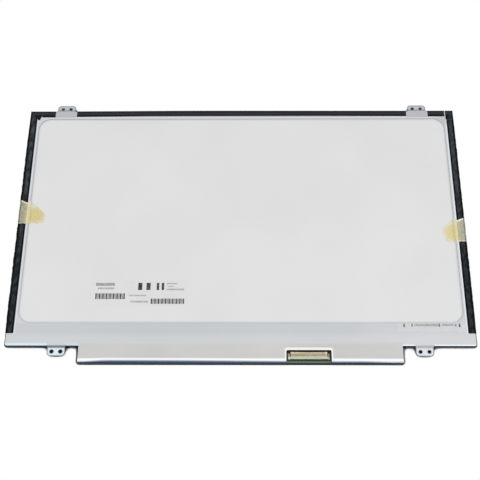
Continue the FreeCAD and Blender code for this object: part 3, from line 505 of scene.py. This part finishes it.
def film_copy(name, node, cells):
    """Copy of a CAD film as a piece of its own, its faces cut into cells that can be creased."""
    sheet = bpy.data.objects.new(name, nodes[node].data.copy())
    sheet.data.name = name
    bpy.context.scene.collection.objects.link(sheet)
    bpy.ops.object.select_all(action="DESELECT")
    sheet.select_set(True)
    bpy.context.view_layer.objects.active = sheet
    bpy.ops.object.mode_set(mode="EDIT")
    bpy.ops.mesh.select_all(action="SELECT")
    bpy.ops.mesh.remove_doubles(threshold=merge_gap)
    bpy.ops.mesh.dissolve_limited(angle_limit=flat_angle)
    low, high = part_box(node)
    for axis, cell in enumerate(cells):
        facing = [0, 0, 0]
        facing[axis] = 1
        for step in range(1, int((high[axis] - low[axis]) / cell) + 1):
            bpy.ops.mesh.select_all(action="SELECT")
            at = [part * (low[axis] + step * cell) for part in facing]
            bpy.ops.mesh.bisect(plane_co=at, plane_no=facing, threshold=cut_gap)
    bpy.ops.object.mode_set(mode="OBJECT")
    return sheet


def push(piece, name, texture, direction, depth, level, weight):
    """Move the film by a cloudy pattern along an axis, as far as the weight of each point lets it."""
    group = piece.vertex_groups.new(name=name)
    for point in piece.data.vertices:
        group.add([point.index], weight(point.co), "REPLACE")
    apply_modifier(
        piece,
        name,
        "DISPLACE",
        texture=texture,
        texture_coords="LOCAL",
        direction=direction,
        mid_level=level,
        strength=depth,
        vertex_group=name,
    )


fold_creases = bpy.data.textures.new("fold_creases", "CLOUDS")
fold_creases.noise_scale = 3 * MM
fold_creases.contrast = 1.5
left_crease = 0.55 * MM
right_crease = 0.35 * MM
crease_span = (88 * MM, 66 * MM)
top_swell = 0.4 * MM
swell_left = (-130 * MM, -50 * MM)
swell_right = (130 * MM, -20 * MM)
fold_width = 2.0 * MM
lap_height = 0.3 * MM
lap_end = 5 * lap_height


def fold_weight(out, edge, height):
    """1 at the outer edge of a fold, and 0 on the flat and at the lap under the cell."""
    return share(out, edge - fold_width, edge) * share(height, lap_height, lap_end)


def crease_side(piece, side, depth):
    """Let the fold at a side stand off the frame in uneven creases, less towards its ends."""
    def by_fold(at):
        return fold_weight(side * at.x, frame_high.x, at.z) * share(abs(at.y), *crease_span)
    push(piece, "side_fold", fold_creases, "X", side * depth, 0.0, by_fold)


def swell_top(piece):
    """Let the fold at the top stand a little off the frame, most to the left of its middle."""
    for point in piece.data.vertices:
        along = min(share(point.co.x, *swell_left), share(point.co.x, *swell_right))
        point.co.y += top_swell * fold_weight(point.co.y, frame_high.y, point.co.z) * along


tape_low, tape_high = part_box("edge_tape_top")
askew_rise = 0.33 * MM
askew_drops = ((-70, -125, 0.60), (-135, -140, 0.43), (60, 120, 0.33), (135, 140, 0.40))


def lay_askew(piece):
    """Move the inner edge of a top tape a little up or down along its length."""
    for point in piece.data.vertices:
        rise = askew_rise
        for start, end, drop in askew_drops:
            rise -= drop * MM * share(point.co.x, start * MM, end * MM)
        if point.co.z > tape_high.z - fold_width:
            point.co.y += rise * share(point.co.y, frame_high.y - fold_width, tape_low.y)


tab_root = -154.8 * MM
tab_start = tab_root + 0.8 * MM
tab_end = tab_root + 3.5 * MM
tab_drop = 1.6 * MM
tab_trim = 1.2 * MM
drop_span = (91.0 * MM, 88.5 * MM)
trim_span = (90.0 * MM, 88.9 * MM)


def reshape_tab(piece):
    """Draw the left tape's tab at the top corner down, and its low part narrower."""
    for point in piece.data.vertices:
        trim = tab_trim * share(point.co.y, *trim_span)
        drop = tab_drop * share(point.co.x, tab_root, tab_start)
        point.co.y -= drop * share(point.co.y, *drop_span)
        point.co.x -= trim * share(point.co.x, tab_root, tab_end)


def hand_over(piece, node, finish):
    """Let a finished film stand for its CAD node."""
    bpy.ops.object.shade_smooth_by_angle(angle=soft_angle)
    piece.data.materials.clear()
    piece.data.materials.append(finish)
    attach(piece, "root")
    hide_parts(node)


tape_cells = (0.8 * MM, 0.8 * MM, 0.8 * MM)
for name in ("left", "right", "corner", "top", "top_left", "top_right"):
    creased = film_copy(f"creased_tape_{name}", f"edge_tape_{name}", tape_cells)
    if name.startswith("top"):
        lay_askew(creased)
        swell_top(creased)
    elif name == "left":
        reshape_tab(creased)
        crease_side(creased, -1, left_crease)
    else:
        crease_side(creased, 1, right_crease)
    hand_over(creased, f"edge_tape_{name}", tape)

# Circuit board: green solder mask over copper lines, beside the frame and joined to the glass by the
# driver films. Its cut edge has painted shade and its ends painted light.
mask_green, tree, shader = new_finish("solder_mask", roughness=0.35, gloss=0.3)
place = add_node(tree, "ShaderNodeTexCoord", {})
run_scale = 260.0
runs = {"Vector": place.outputs["Object"], "Scale": run_scale, "Distortion": 2.0, "Detail": 1.0}
copper_runs = add_node(tree, "ShaderNodeTexWave", runs, bands_direction="DIAGONAL").outputs["Fac"]
mask_tone = shade_between(tree, copper_runs, screen(36, 54, 36), screen(50, 70, 50), 0.45, 0.55)
board_low, board_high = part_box("circuit_board")
housing_low, housing_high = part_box("socket_housing")
board_x = object_axis(tree, "X")
board_y = object_axis(tree, "Y")
from_edge = calc(tree, "SUBTRACT", board_y, board_low.y)
# Paler strip along the board's low edge
pale_strip = where_all(
    tree,
    ramp_between(tree, from_edge, 0.4 * MM, 0.7 * MM),
    ramp_between(tree, from_edge, 1.9 * MM, 1.6 * MM),
)
tone = mix_colours(tree, pale_strip, mask_tone, screen(98, 114, 102))
# Painted shadow on the board under the cover film's edge
under_film_shadow = ramp_between(tree, board_y, housing_high.y - 0.3 * MM, housing_high.y)
tone = mix_colours(tree, under_film_shadow, tone, screen(6, 9, 5))
# Painted shade on the board's cut edge and low margin
edge_shade_tone = screen(12, 16, 20)
board_edge_shade = ramp_between(tree, object_axis(tree, "Z"), board_high.z, board_high.z - 0.1 * MM)
board_edge_shade = calc(tree, "MAXIMUM", board_edge_shade, ramp_between(tree, from_edge, 0.6 * MM, 0.4 * MM))
tone = mix_colours(tree, board_edge_shade, tone, edge_shade_tone)
# Painted light on the board's ends, with painted shade on the left end near the frame
end_margin = 1.5 * MM
left_end = ramp_between(tree, board_x, board_low.x + end_margin, board_low.x)
right_end = ramp_between(tree, board_x, board_high.x - end_margin, board_high.x)
on_right = ramp_between(tree, board_x, -1 * MM, 1 * MM)
painted_end_tone = mix_colours(tree, on_right, screen(112, 112, 111), screen(166, 166, 166))
painted_near_frame_tone = mix_colours(tree, on_right, edge_shade_tone, screen(158, 160, 162))
down_end = ramp_between(tree, board_y, -97.0 * MM, -101.0 * MM)
painted_end_tone = mix_colours(tree, down_end, painted_near_frame_tone, painted_end_tone)
tint(tree, shader, mix_colours(tree, calc(tree, "MAXIMUM", left_end, right_end), tone, painted_end_tone))
dress(mask_green, "circuit_board")

# Cable socket: ivory moulded housing with a row of gilt spring contacts and a tinned steel shell over
# its mouth, soldered to the board at the contacts' feet and the shell's feet.
flow_patch = 2 * MM
flow_stretch = (2, 1, 1)
ivory, tree, shader = new_finish("ivory_moulding", roughness=0.5)
flow = cloud(tree, flow_patch, flow_stretch)
crown_tone = shade_between(tree, flow, screen(148, 138, 112), screen(178, 168, 140))
ledge_tone = shade_between(tree, flow, screen(206, 194, 164), screen(232, 222, 196))
from_back = calc(tree, "SUBTRACT", housing_high.y, object_axis(tree, "Y"))
tone = mix_colours(tree, ramp_between(tree, from_back, 1.6 * MM, 1.2 * MM), crown_tone, ledge_tone)
# Painted shade on the housing's walls
tint(tree, shader, mix_colours(tree, off_flat(tree), tone, screen(40, 44, 28)))
dress(ivory, "socket_housing")
gilt, tree, shader = new_finish("gilt_contact", roughness=0.3, metallic=0.9)
flow = cloud(tree, flow_patch, flow_stretch)
plating = shade_between(tree, flow, screen(210, 196, 162), screen(234, 222, 194))
# Painted shadow on the contacts' feet behind the housing
feet = ramp_between(tree, object_axis(tree, "Y"), housing_high.y, housing_high.y + 0.3 * MM)
tint(tree, shader, mix_colours(tree, feet, plating, screen(40, 30, 14)))
dress(gilt, "socket_contacts")
tinned, tree, shader = new_finish("tinned_steel", roughness=0.4, metallic=0.3)
tin_streaks = cloud(tree, 1.5 * MM, stretch=(6, 1, 1))
tin_tone = shade_between(tree, tin_streaks, screen(182, 186, 162), screen(198, 201, 178))
shell_low, shell_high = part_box("socket_shell")
# Painted highlight on the shell's left foot
foot_highlight = where_all(
    tree,
    ramp_between(tree, object_axis(tree, "X"), housing_low.x + 0.1 * MM, housing_low.x - 0.3 * MM),
    ramp_between(tree, object_axis(tree, "Y"), shell_low.y + 0.2 * MM, shell_low.y + 0.7 * MM),
)
tin_tone = mix_colours(tree, foot_highlight, tin_tone, screen(236, 235, 228))
# Painted shade on the shell's walls
tint(tree, shader, mix_colours(tree, off_flat(tree), tin_tone, screen(20, 26, 12)))
dress(tinned, "socket_shell")


def start_piece(name, primitive, **values):
    """Add a primitive by itself, ready to be shaped, as the only thing selected."""
    bpy.ops.object.select_all(action="DESELECT")
    primitive(**values)
    piece = bpy.context.object
    piece.name = name
    piece.data.name = name
    return piece


def settle():
    """Put the place, turn and size of the selected piece into its mesh."""
    bpy.ops.object.transform_apply(location=True, rotation=True, scale=True)


solder = mottled_finish(
    "solder", screen(124, 124, 110), screen(170, 164, 150), 1.2 * MM, roughness=0.35, metallic=0.4
)
lumps = bpy.data.textures.new("solder_lumps", "CLOUDS")
lumps.noise_scale = 0.9 * MM
lump_depth = 0.12 * MM
fillet_low = -101.2 * MM
fillet_high = -98.1 * MM
fillet_height = 0.7 * MM
fillet_angle = math.radians(40)
fillets = (("left", 31.9 * MM, 34.1 * MM), ("right", 58.8 * MM, 60.5 * MM))
for name, left, right in fillets:
    middle = ((left + right) / 2, (fillet_low + fillet_high) / 2, board_high.z)
    fillet = start_piece(
        f"solder_fillet_{name}",
        bpy.ops.mesh.primitive_uv_sphere_add,
        segments=24,
        ring_count=16,
        radius=0.5,
        location=middle,
    )
    fillet.scale = (right - left, fillet_high - fillet_low, 2 * fillet_height)
    settle()
    apply_modifier(
        fillet,
        "lumps",
        "DISPLACE",
        texture=lumps,
        texture_coords="LOCAL",
        direction="NORMAL",
        mid_level=1.0,
        strength=lump_depth,
    )
    bpy.ops.object.mode_set(mode="EDIT")
    bpy.ops.mesh.select_all(action="SELECT")
    bpy.ops.mesh.bisect(plane_co=middle, plane_no=(0, 0, 1), use_fill=True, clear_inner=True)
    bpy.ops.object.mode_set(mode="OBJECT")
    bpy.ops.object.shade_smooth_by_angle(angle=fillet_angle)
    fillet.data.materials.append(solder)
    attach(fillet, "root")

# Parts soldered on the board: moulded chips, two shielded coils, rows of small capacitors and resistors,
# and the socket for the light strip's tail. They lie under the cover film.
chip_relief = 0.005 * MM
chip_black = mottled_finish(
    "chip_moulding", screen(30, 30, 32), screen(40, 40, 42), 0.3 * MM, 0.55, bump=chip_relief
)
dress(chip_black, "timing_controller", "memory_chip", "backlight_driver", "bias_power_chip", "resistors")
ferrite_relief = 0.01 * MM
ferrite = mottled_finish(
    "ferrite", screen(66, 66, 68), screen(84, 84, 86), 0.4 * MM, 0.6, bump=ferrite_relief
)
dress(ferrite, "boost_inductor", "bias_inductor")
tan_ceramic = mottled_finish("tan_ceramic", screen(168, 138, 100), screen(188, 158, 120), 0.8 * MM, 0.4)
dress(tan_ceramic, "capacitors")
white_mould = mottled_finish("white_moulding", screen(222, 218, 206), screen(232, 229, 220), 1 * MM, 0.45)
dress(white_mould, "led_socket")

# Cover film: silvered polyester over the circuit board. It is stuck to the back frame, sags a little
# over the parts, bends down over the board's edge and is cut away round the cable socket.
film_low, film_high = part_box("board_cover_film")
film_thick = 0.1 * MM
bend_radius = 1.4 * MM
bend_y = film_low.y + bend_radius
bend_steps = 8
reach = 0.01 * MM


def pick(piece, kind, wanted):
    """In edit mode, select faces whose middle passes a test, or edges both of whose ends do."""
    bpy.ops.mesh.select_mode(type=kind)
    bpy.ops.mesh.select_all(action="DESELECT")
    bpy.ops.object.mode_set(mode="OBJECT")
    mesh = piece.data
    if kind == "FACE":
        for face in mesh.polygons:
            face.select = wanted(face.center)
    else:
        for line in mesh.edges:
            ends = [mesh.vertices[index].co for index in line.vertices]
            line.select = all(wanted(end) for end in ends)
    bpy.ops.object.mode_set(mode="EDIT")


cover_middle = (film_low.x + film_high.x) / 2
cover = start_piece(
    "cover_film",
    bpy.ops.mesh.primitive_grid_add,
    x_subdivisions=146,
    y_subdivisions=10,
    size=1,
    location=(cover_middle, (bend_y + film_high.y) / 2, film_high.z),
)
cover.scale = (film_high.x - film_low.x, film_high.y - bend_y, 1)
settle()
bpy.ops.object.mode_set(mode="EDIT")
pick(cover, "EDGE", lambda at: at.y < bend_y + reach)
bend_middle = (0, bend_y, film_high.z - bend_radius)
bpy.ops.mesh.spin(steps=bend_steps, angle=math.radians(90), center=bend_middle, axis=(-1, 0, 0))
skirt = film_high.z - bend_radius - film_low.z
bpy.ops.mesh.extrude_region_move(TRANSFORM_OT_translate={"value": (0, 0, -skirt)})
bpy.ops.object.mode_set(mode="OBJECT")
sag = 0.16 * MM
sag_run = 3 * MM
frame_edge = frame_low.y - 0.6 * MM
free_span = cover.vertex_groups.new(name="free_span")
for point in cover.data.vertices:
    from_frame = share(point.co.y, frame_edge, frame_edge - sag_run)
    from_bend = share(point.co.y, bend_y, bend_y + sag_run)
    free_span.add([point.index], from_frame * from_bend, "REPLACE")
ripple = bpy.data.textures.new("film_ripple", "CLOUDS")
ripple.noise_scale = 14 * MM
apply_modifier(
    cover,
    "sag",
    "DISPLACE",
    texture=ripple,
    texture_coords="LOCAL",
    direction="Z",
    mid_level=1.0,
    strength=sag,
    vertex_group="free_span",
)
apply_modifier(cover, "thickness", "SOLIDIFY", thickness=film_thick, offset=-1.0)
cut_margin = 1.3 * MM
cut_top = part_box("socket_contacts")[1].y + 0.5 * MM
cut_corner = 1.2 * MM
cut_corner_steps = 6
cut_span = 20 * MM
cut_middle = (shell_low.x + shell_high.x) / 2
cutter = start_piece(
    "socket_cut",
    bpy.ops.mesh.primitive_cube_add,
    size=1,
    location=(cut_middle, cut_top - cut_span / 2, film_high.z / 2),
)
cutter.scale = (shell_high.x - shell_low.x + 2 * cut_margin, cut_span, 4 * film_high.z)
settle()
bpy.ops.object.mode_set(mode="EDIT")
pick(cutter, "EDGE", lambda at: at.y > cut_top - reach)
bpy.ops.object.mode_set(mode="OBJECT")
for line in cutter.data.edges:
    ends = [cutter.data.vertices[index].co for index in line.vertices]
    upright = abs(ends[0].z - ends[1].z) > film_high.z
    line.select = line.select and upright
bpy.ops.object.mode_set(mode="EDIT")
bpy.ops.mesh.bevel(offset=cut_corner, segments=cut_corner_steps, affect="EDGES")
bpy.ops.object.mode_set(mode="OBJECT")
apply_modifier(cover, "socket_gap", "BOOLEAN", operation="DIFFERENCE", object=cutter, solver="EXACT")
bpy.data.objects.remove(cutter)
bpy.ops.object.select_all(action="DESELECT")
cover.select_set(True)
bpy.context.view_layer.objects.active = cover
bpy.ops.object.shade_smooth_by_angle(angle=soft_angle)
silver, tree, shader = new_finish("silvered_film", roughness=0.3, metallic=0.6)
silver_drift = cloud(tree, 24 * MM, (2, 1, 1))
tone = shade_between(tree, silver_drift, screen(197, 197, 196), screen(206, 205, 203), *gentle)
place_x = object_axis(tree, "X")
place_y = object_axis(tree, "Y")
stuck_edge = ramp_between(tree, place_y, film_high.y - 2.4 * MM, film_high.y)
tone = mix_colours(tree, stuck_edge, tone, screen(206, 207, 208))
from_low = calc(tree, "SUBTRACT", place_y, film_low.y)
lift = 0.0
for start, end, rise in ((-75, 70, 0.7), (80, 105, 0.35), (-88, -108, 0.9)):
    part = calc(tree, "MULTIPLY", ramp_between(tree, place_x, start * MM, end * MM), rise * MM)
    lift = calc(tree, "ADD", part, lift)
# Painted highlight on the flat before the bend
bright_lift = 0.3
bright_place = calc(tree, "ADD", from_low, calc(tree, "MULTIPLY", lift, bright_lift))
bend_highlight = ramp_between(tree, bright_place, 4.2 * MM, 3.0 * MM)
lit = mix_colours(tree, bend_highlight, tone, screen(250, 252, 255))
# Painted highlight along the edge of the socket cut
across = calc(tree, "SUBTRACT", place_x, cut_middle)
along = calc(tree, "SUBTRACT", place_y, cut_top - cut_span)
cut_half = (shell_high.x - shell_low.x) / 2 + cut_margin
past_cut = past_outline(tree, (across, along), (cut_half, cut_span), cut_corner)
above_cut = ramp_between(tree, along, cut_span - 0.5 * MM, cut_span + 0.5 * MM)
top_rim_highlight = where_all(tree, ramp_between(tree, past_cut, 2.2 * MM, 1.2 * MM), above_cut)
cut_rim_highlight = calc(tree, "MAXIMUM", ramp_between(tree, past_cut, 1.4 * MM, 0.5 * MM), top_rim_highlight)
lit = mix_colours(tree, cut_rim_highlight, lit, screen(244, 243, 238))
# Painted dark reflection on the bend and the skirt
bend_reflection_mask = ramp_between(tree, calc(tree, "ADD", from_low, lift), 2.9 * MM, 1.3 * MM)
down_bend = ramp_between(tree, from_low, 1.3 * MM, 0.3 * MM)
bend_reflection_tone = mix_colours(tree, down_bend, screen(76, 99, 124), screen(8, 23, 42))
tint(tree, shader, mix_colours(tree, bend_reflection_mask, lit, bend_reflection_tone))
cover.data.materials.clear()
cover.data.materials.append(silver)
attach(cover, "root")
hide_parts("board_cover_film")

# Yellow holding tapes: thin clear yellow film, pressed by hand over the edge tape and the steel so that
# the light stack can't slide out. Its edge is ragged, with a notch at the top, its fold stands off in
# creases, and the black tape shows through as grey.
yellow_tapes = (
    ("left", -1, -148.3 * MM, 5.5 * MM, 0.28, screen(254, 249, 232), 0.6 * MM),
    ("right", 1, 152.3 * MM, -8.6 * MM, 0.34, screen(255, 252, 234), 0.45 * MM),
)
yellow_cells = (0.5 * MM, 0.5 * MM, 0.8 * MM)
yellow_relief = 0.04 * MM
notch_x = 155.4 * MM
notch_end = 159.8 * MM
notch_width = 1.6 * MM
notch_depth = 1.8 * MM
notch_blend = 6 * MM
ragged = bpy.data.textures.new("ragged_film", "CLOUDS")
ragged.noise_scale = 1.7 * MM
ragged.contrast = 1.4
ragged_reach = 0.9 * MM
loose_height = 0.11 * MM
loose_ways = (
    ("ragged_x", "X", ragged_reach, 0.5, (151.8 * MM, 150.3 * MM)),
    ("ragged_y", "Y", ragged_reach, 0.5, (159.0 * MM, 156.0 * MM)),
    ("loose", "Z", loose_height, 0.0, (154.4 * MM, 153.6 * MM)),
)
strong_wander = 4 * MM
crease_mist = 0.1
ridge_mist = 0.1
steel_mist = 0.62
rim_mist = 0.25
black_crease_mist = 0.2
inner_mist = 0.1
fold_fade = 0.6
top_rim_strength = 2.0


def mist(tree, *layers):
    """Sum of masks, each by its own strength."""
    total = 0.0
    for mask, strength in layers:
        total = calc(tree, "ADD", total, calc(tree, "MULTIPLY", mask, strength))
    return total


for side, sign, strong_x, strong_y, black_mist, strong_clear, fold_depth in yellow_tapes:
    yellow, tree, shader = new_finish(f"yellow_film_{side}", roughness=0.35, gloss=0.4)
    creases = cloud(tree, 2.4 * MM, stretch=(1, 1.6, 1))
    place_x = object_axis(tree, "X")
    place_y = object_axis(tree, "Y")
    off_x = calc(tree, "SUBTRACT", place_x, strong_x)
    off_y = calc(tree, "SUBTRACT", place_y, strong_y)
    off = step_length(tree, off_x, off_y)
    off = calc(tree, "ADD", off, calc(tree, "MULTIPLY", creases, strong_wander))
    strong = ramp_between(tree, off, 10.5 * MM, 5.0 * MM)
    inward = from_outside(tree)
    over_black = ramp_between(tree, inward, 5.45 * MM, 5.2 * MM)
    on_fold = ramp_between(tree, inward, 1.2 * MM, 0.2 * MM)
    inner_black = where_all(tree, ramp_between(tree, inward, 2.6 * MM, 5.2 * MM), over_black)
    yellow_low, yellow_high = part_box(f"yellow_tape_{side}")
    # Painted highlights along the film's cut edges over the black tape
    low_rim_highlight = ramp_between(tree, place_y, yellow_low.y + 1.0 * MM, yellow_low.y + 0.3 * MM)
    in_notch = ramp_between(tree, calc(tree, "ABSOLUTE", place_x), notch_end, notch_x)
    top_place = calc(tree, "ADD", place_y, calc(tree, "MULTIPLY", in_notch, notch_depth))
    top_rim_highlight = ramp_between(tree, top_place, yellow_high.y - 1.9 * MM, yellow_high.y - 0.9 * MM)
    top_rim_highlight = where_all(tree, top_rim_highlight, invert(tree, on_fold), top_rim_strength)
    cut_rim_highlight = where_all(tree, calc(tree, "MAXIMUM", low_rim_highlight, top_rim_highlight), over_black)
    tinted = mix_colours(tree, strong, screen(236, 232, 214), screen(228, 214, 156))
    black_tint = mix_colours(tree, inner_black, screen(232, 232, 208), screen(238, 228, 180))
    misted = mix_colours(tree, over_black, tinted, black_tint)
    over_steel = ramp_between(tree, inward, 9.4 * MM, 6.6 * MM)
    over_steel = where_all(tree, over_steel, invert(tree, over_black))
    pale_top = ramp_between(tree, place_y, yellow_high.y - 6.5 * MM, yellow_high.y - 2.5 * MM)
    steel_tint = mix_colours(tree, pale_top, screen(243, 232, 184), screen(238, 236, 224))
    tint(tree, shader, mix_colours(tree, over_steel, misted, steel_tint))
    roughen(tree, shader, creases, yellow_relief)
    clear = mix_colours(tree, strong, screen(255, 254, 249), strong_clear)
    through = add_node(tree, "ShaderNodeBsdfTransparent", {"Color": clear})
    # Painted highlights along the crease ridges
    ridge_highlight = ramp_between(tree, off_middle(tree, creases, 0.5), 0.05, 0.01)
    fold_dark = invert(tree, calc(tree, "MULTIPLY", on_fold, fold_fade))
    on_black = calc(tree, "ADD", calc(tree, "MULTIPLY", creases, black_crease_mist), black_mist)
    on_black = mist(tree, (on_black, fold_dark), (inner_black, inner_mist))
    milky = mist(
        tree,
        (creases, crease_mist),
        (over_steel, steel_mist),
        (ridge_highlight, ridge_mist),
        (over_black, on_black),
        (cut_rim_highlight, rim_mist),
    )
    film_mix = add_node(tree, "ShaderNodeMixShader", {"Fac": milky})
    tree.links.new(through.outputs["BSDF"], film_mix.inputs[1])
    tree.links.new(shader.outputs["BSDF"], film_mix.inputs[2])
    tree.links.new(film_mix.outputs["Shader"], tree.nodes["Material Output"].inputs["Surface"])
    creased = film_copy(f"creased_yellow_{side}", f"yellow_tape_{side}", yellow_cells)
    for point in creased.data.vertices:
        out = sign * point.co.x
        dip = min(share(out, notch_end, notch_x), share(out, notch_x - notch_width, notch_x))
        near_top = share(point.co.y, yellow_high.y - notch_blend, yellow_high.y)
        point.co.y -= notch_depth * dip * near_top
    for way, direction, depth, level, span in loose_ways:
        push(creased, way, ragged, direction, depth, level, lambda at: share(sign * at.x, *span))
    crease_side(creased, sign, fold_depth)
    hand_over(creased, f"yellow_tape_{side}", yellow)

# Labels: white printed film. One lies on the reflector inside the window and one on the steel below it.
# Their print is plain bars and blocks that say nothing.
label_light = screen(222, 222, 223)
paper = mottled_finish("label_film", screen(219, 219, 220), label_light, 10 * MM, 0.5, gloss=0.3)
dress(paper, "main_label")
strip_light = screen(211, 212, 215)
strip_paper = mottled_finish(
    "strip_label_film", screen(207, 208, 211), strip_light, 8 * MM, 0.5, gloss=0.3
)
dress(strip_paper, "serial_label")
ink_thick = 0.01 * MM


def print_row(label_corner, left, right, low, high, cells, pattern):
    """Row of cells at distances from a label's low left corner, inked where the pattern has an x."""
    middle = (label_corner.x + (left + right) / 2, label_corner.y + (low + high) / 2, label_corner.z)
    row = start_piece(
        "print_row",
        bpy.ops.mesh.primitive_grid_add,
        x_subdivisions=cells,
        y_subdivisions=1,
        size=1,
        location=middle,
    )
    row.scale = (right - left, high - low, 1)
    settle()
    bpy.ops.object.mode_set(mode="EDIT")
    step = (right - left) / cells
    start = label_corner.x + left
    pick(row, "FACE", lambda at: pattern[int((at.x - start) / step) % len(pattern)] != "x")
    bpy.ops.mesh.delete(type="FACE")
    bpy.ops.object.mode_set(mode="OBJECT")
    return row


def join_print(name, rows, finish):
    """One printed piece from rows of bars, as thick as the ink."""
    bpy.ops.object.select_all(action="DESELECT")
    for row in rows:
        row.select_set(True)
    bpy.context.view_layer.objects.active = rows[0]
    bpy.ops.object.join()
    sheet = bpy.context.object
    sheet.name = name
    sheet.data.name = name
    apply_modifier(sheet, "ink", "SOLIDIFY", thickness=ink_thick, offset=1.0)
    sheet.data.materials.clear()
    sheet.data.materials.append(finish)
    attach(sheet, "root")


def top_corner(node):
    """Low left corner of a flat node, on its back face."""
    low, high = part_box(node)
    low.z = high.z
    return low


dark_ink = mottled_finish("dark_ink", screen(4, 4, 5), screen(92, 92, 94), 1.1 * MM, 0.6, gloss=0.1)
pale_ink = mottled_finish("pale_ink", screen(80, 80, 82), screen(160, 160, 162), 1.1 * MM, 0.6, gloss=0.1)
block_ink = mottled_finish("block_ink", screen(44, 44, 46), screen(84, 84, 86), 1.8 * MM, 0.6, gloss=0.2)
strip_dark = screen(84, 84, 86)
strip_ink = mottled_finish("strip_ink", strip_dark, screen(124, 124, 126), 1.8 * MM, 0.6, gloss=0.2)
main_corner = top_corner("main_label")
strip_corner = top_corner("serial_label")

# Rows of print: left, right, low and high in millimetres, number of cells, pattern of the cells
bars = [
    (2.4, 15.3, 14.9, 17.1, 35, "x."),
    (2.4, 22.9, 5.0, 9.3, 67, "xxx.x.x."),
    (41.1, 64.2, 1.5, 5.4, 75, "xxx.x.x."),
]
lines = [
    (4.0, 15.1, 12.4, 13.7, 29, "x."),
    (52.0, 59.1, 16.1, 17.1, 19, "x."),
    (52.5, 56.7, 14.1, 14.9, 11, "x."),
    (51.8, 63.8, 11.6, 12.9, 31, "x."),
    (26.0, 37.5, 7.2, 8.2, 29, "x."),
    (27.2, 39.0, 2.4, 3.8, 31, "x."),
]
blocks = [
    (31.9, 40.5, 11.8, 17.2, 3, "x."),
    (44.8, 50.0, 11.8, 17.2, 3, "x."),
]
strip_lines = [
    (11.9, 28.0, 3.8, 5.6, 47, "x."),
    (30.5, 38.8, 4.0, 5.6, 23, "x."),
]
strip_blocks = [
    (4.2, 5.2, 3.2, 5.8, 1, "x"),
    (9.7, 10.6, 3.5, 5.8, 1, "x"),
    (28.3, 29.1, 3.3, 5.8, 1, "x"),
    (39.5, 40.2, 3.5, 5.6, 1, "x"),
    (41.8, 43.0, 3.2, 5.8, 1, "x"),
]
printed = (
    ("label_bars", main_corner, bars, dark_ink),
    ("label_lines", main_corner, lines, pale_ink),
    ("label_blocks", main_corner, blocks, block_ink),
    ("strip_lines", strip_corner, strip_lines, pale_ink),
    ("strip_blocks", strip_corner, strip_blocks, strip_ink),
)
for name, corner, rows, finish in printed:
    placed = [
        print_row(corner, left * MM, right * MM, low * MM, high * MM, cells, pattern)
        for left, right, low, high, cells, pattern in rows
    ]
    join_print(name, placed, finish)

# Studio: white floor, an even white surround and three large soft lamps. The floor shows white to the
# camera and in reflections, and keeps the panel's shadow, which is darkest under the circuit board.
floor_width = 30
floor_drop = 0.05 * MM
floor_place = (0, 0, -floor_drop)
floor = start_piece("floor", bpy.ops.mesh.primitive_plane_add, size=floor_width, location=floor_place)
paint, tree, shader = new_finish("floor_white", roughness=0.9, gloss=0.0)
shader.inputs["Base Color"].default_value = (0.8, 0.8, 0.8, 1)


def seen_directly(tree):
    """1 for rays from the camera, from reflections and through clear pieces, else 0."""
    rays = add_node(tree, "ShaderNodeLightPath", {})
    seen = calc(tree, "MAXIMUM", rays.outputs["Is Camera Ray"], rays.outputs["Is Glossy Ray"])
    return calc(tree, "MAXIMUM", seen, rays.outputs["Is Transmission Ray"])


shadow_reach = 6 * MM
shadow_tone = screen(22, 26, 32)
white = (1, 1, 1, 1)
nearness = {"Distance": shadow_reach}
open_sky = add_node(tree, "ShaderNodeAmbientOcclusion", nearness, samples=16).outputs["AO"]
shadow = shade_between(tree, open_sky, shadow_tone, white, 0.52, 0.615)
# Painted shadow on the floor under the circuit board's overhang
past_board = past_box(tree, (film_low.x, film_low.y), (film_high.x, board_high.y), 0.0)
under_board_shadow = ramp_between(tree, past_board, 0.35 * MM, 0.1 * MM)
shadow = mix_colours(tree, under_board_shadow, shadow, screen(22, 30, 36))
glow = add_node(tree, "ShaderNodeEmission", {"Color": shadow, "Strength": 1.0})
shown = add_node(tree, "ShaderNodeMixShader", {"Fac": seen_directly(tree)})
tree.links.new(shader.outputs["BSDF"], shown.inputs[1])
tree.links.new(glow.outputs["Emission"], shown.inputs[2])
tree.links.new(shown.outputs["Shader"], tree.nodes["Material Output"].inputs["Surface"])
floor.data.materials.append(paint)

scene = bpy.context.scene
world = bpy.data.worlds.new("studio")
scene.world = world
world.use_nodes = True
tree = world.node_tree
surround = tree.nodes["Background"]
surround.inputs["Color"].default_value = white
ambient = 0.57
tree.links.new(calc(tree, "MAXIMUM", seen_directly(tree), ambient), surround.inputs["Strength"])


def soft_lamp(name, place, aim, width, power):
    """Square area lamp turned towards a point."""
    data = bpy.data.lights.new(name, "AREA")
    data.size = width
    data.energy = power
    lamp = bpy.data.objects.new(name, data)
    lamp.location = place
    lamp.rotation_euler = (aim - lamp.location).to_track_quat("-Z", "Y").to_euler()
    scene.collection.objects.link(lamp)


panel_middle = (cad_box[0] + cad_box[1]) / 2
soft_lamp("left_lamp", (-1.6, 0.0, 0.9), panel_middle, width=0.8, power=9.2)
soft_lamp("right_lamp", (1.6, 0.1, 0.9), panel_middle, width=0.8, power=9.2)
soft_lamp("front_lamp", (0.3, -1.5, 1.2), panel_middle, width=1.0, power=11.4)

# Camera: above the low edge of the panel, looking down at the back at the photograph's angle. Its lens,
# place and turn come from where the panel's four corners lie in the photograph.
lens_data = bpy.data.cameras.new("camera")
lens_data.sensor_width = 36
lens_data.lens = 71.288
lens_data.clip_start = 0.01
camera = bpy.data.objects.new("camera", lens_data)
camera.location = (8.145 * MM, -304.455 * MM, 614.042 * MM)
camera.rotation_euler = (0.443179, 0.011567, 0.005087)
scene.collection.objects.link(camera)
scene.camera = camera
scene.view_settings.view_transform = "Standard"
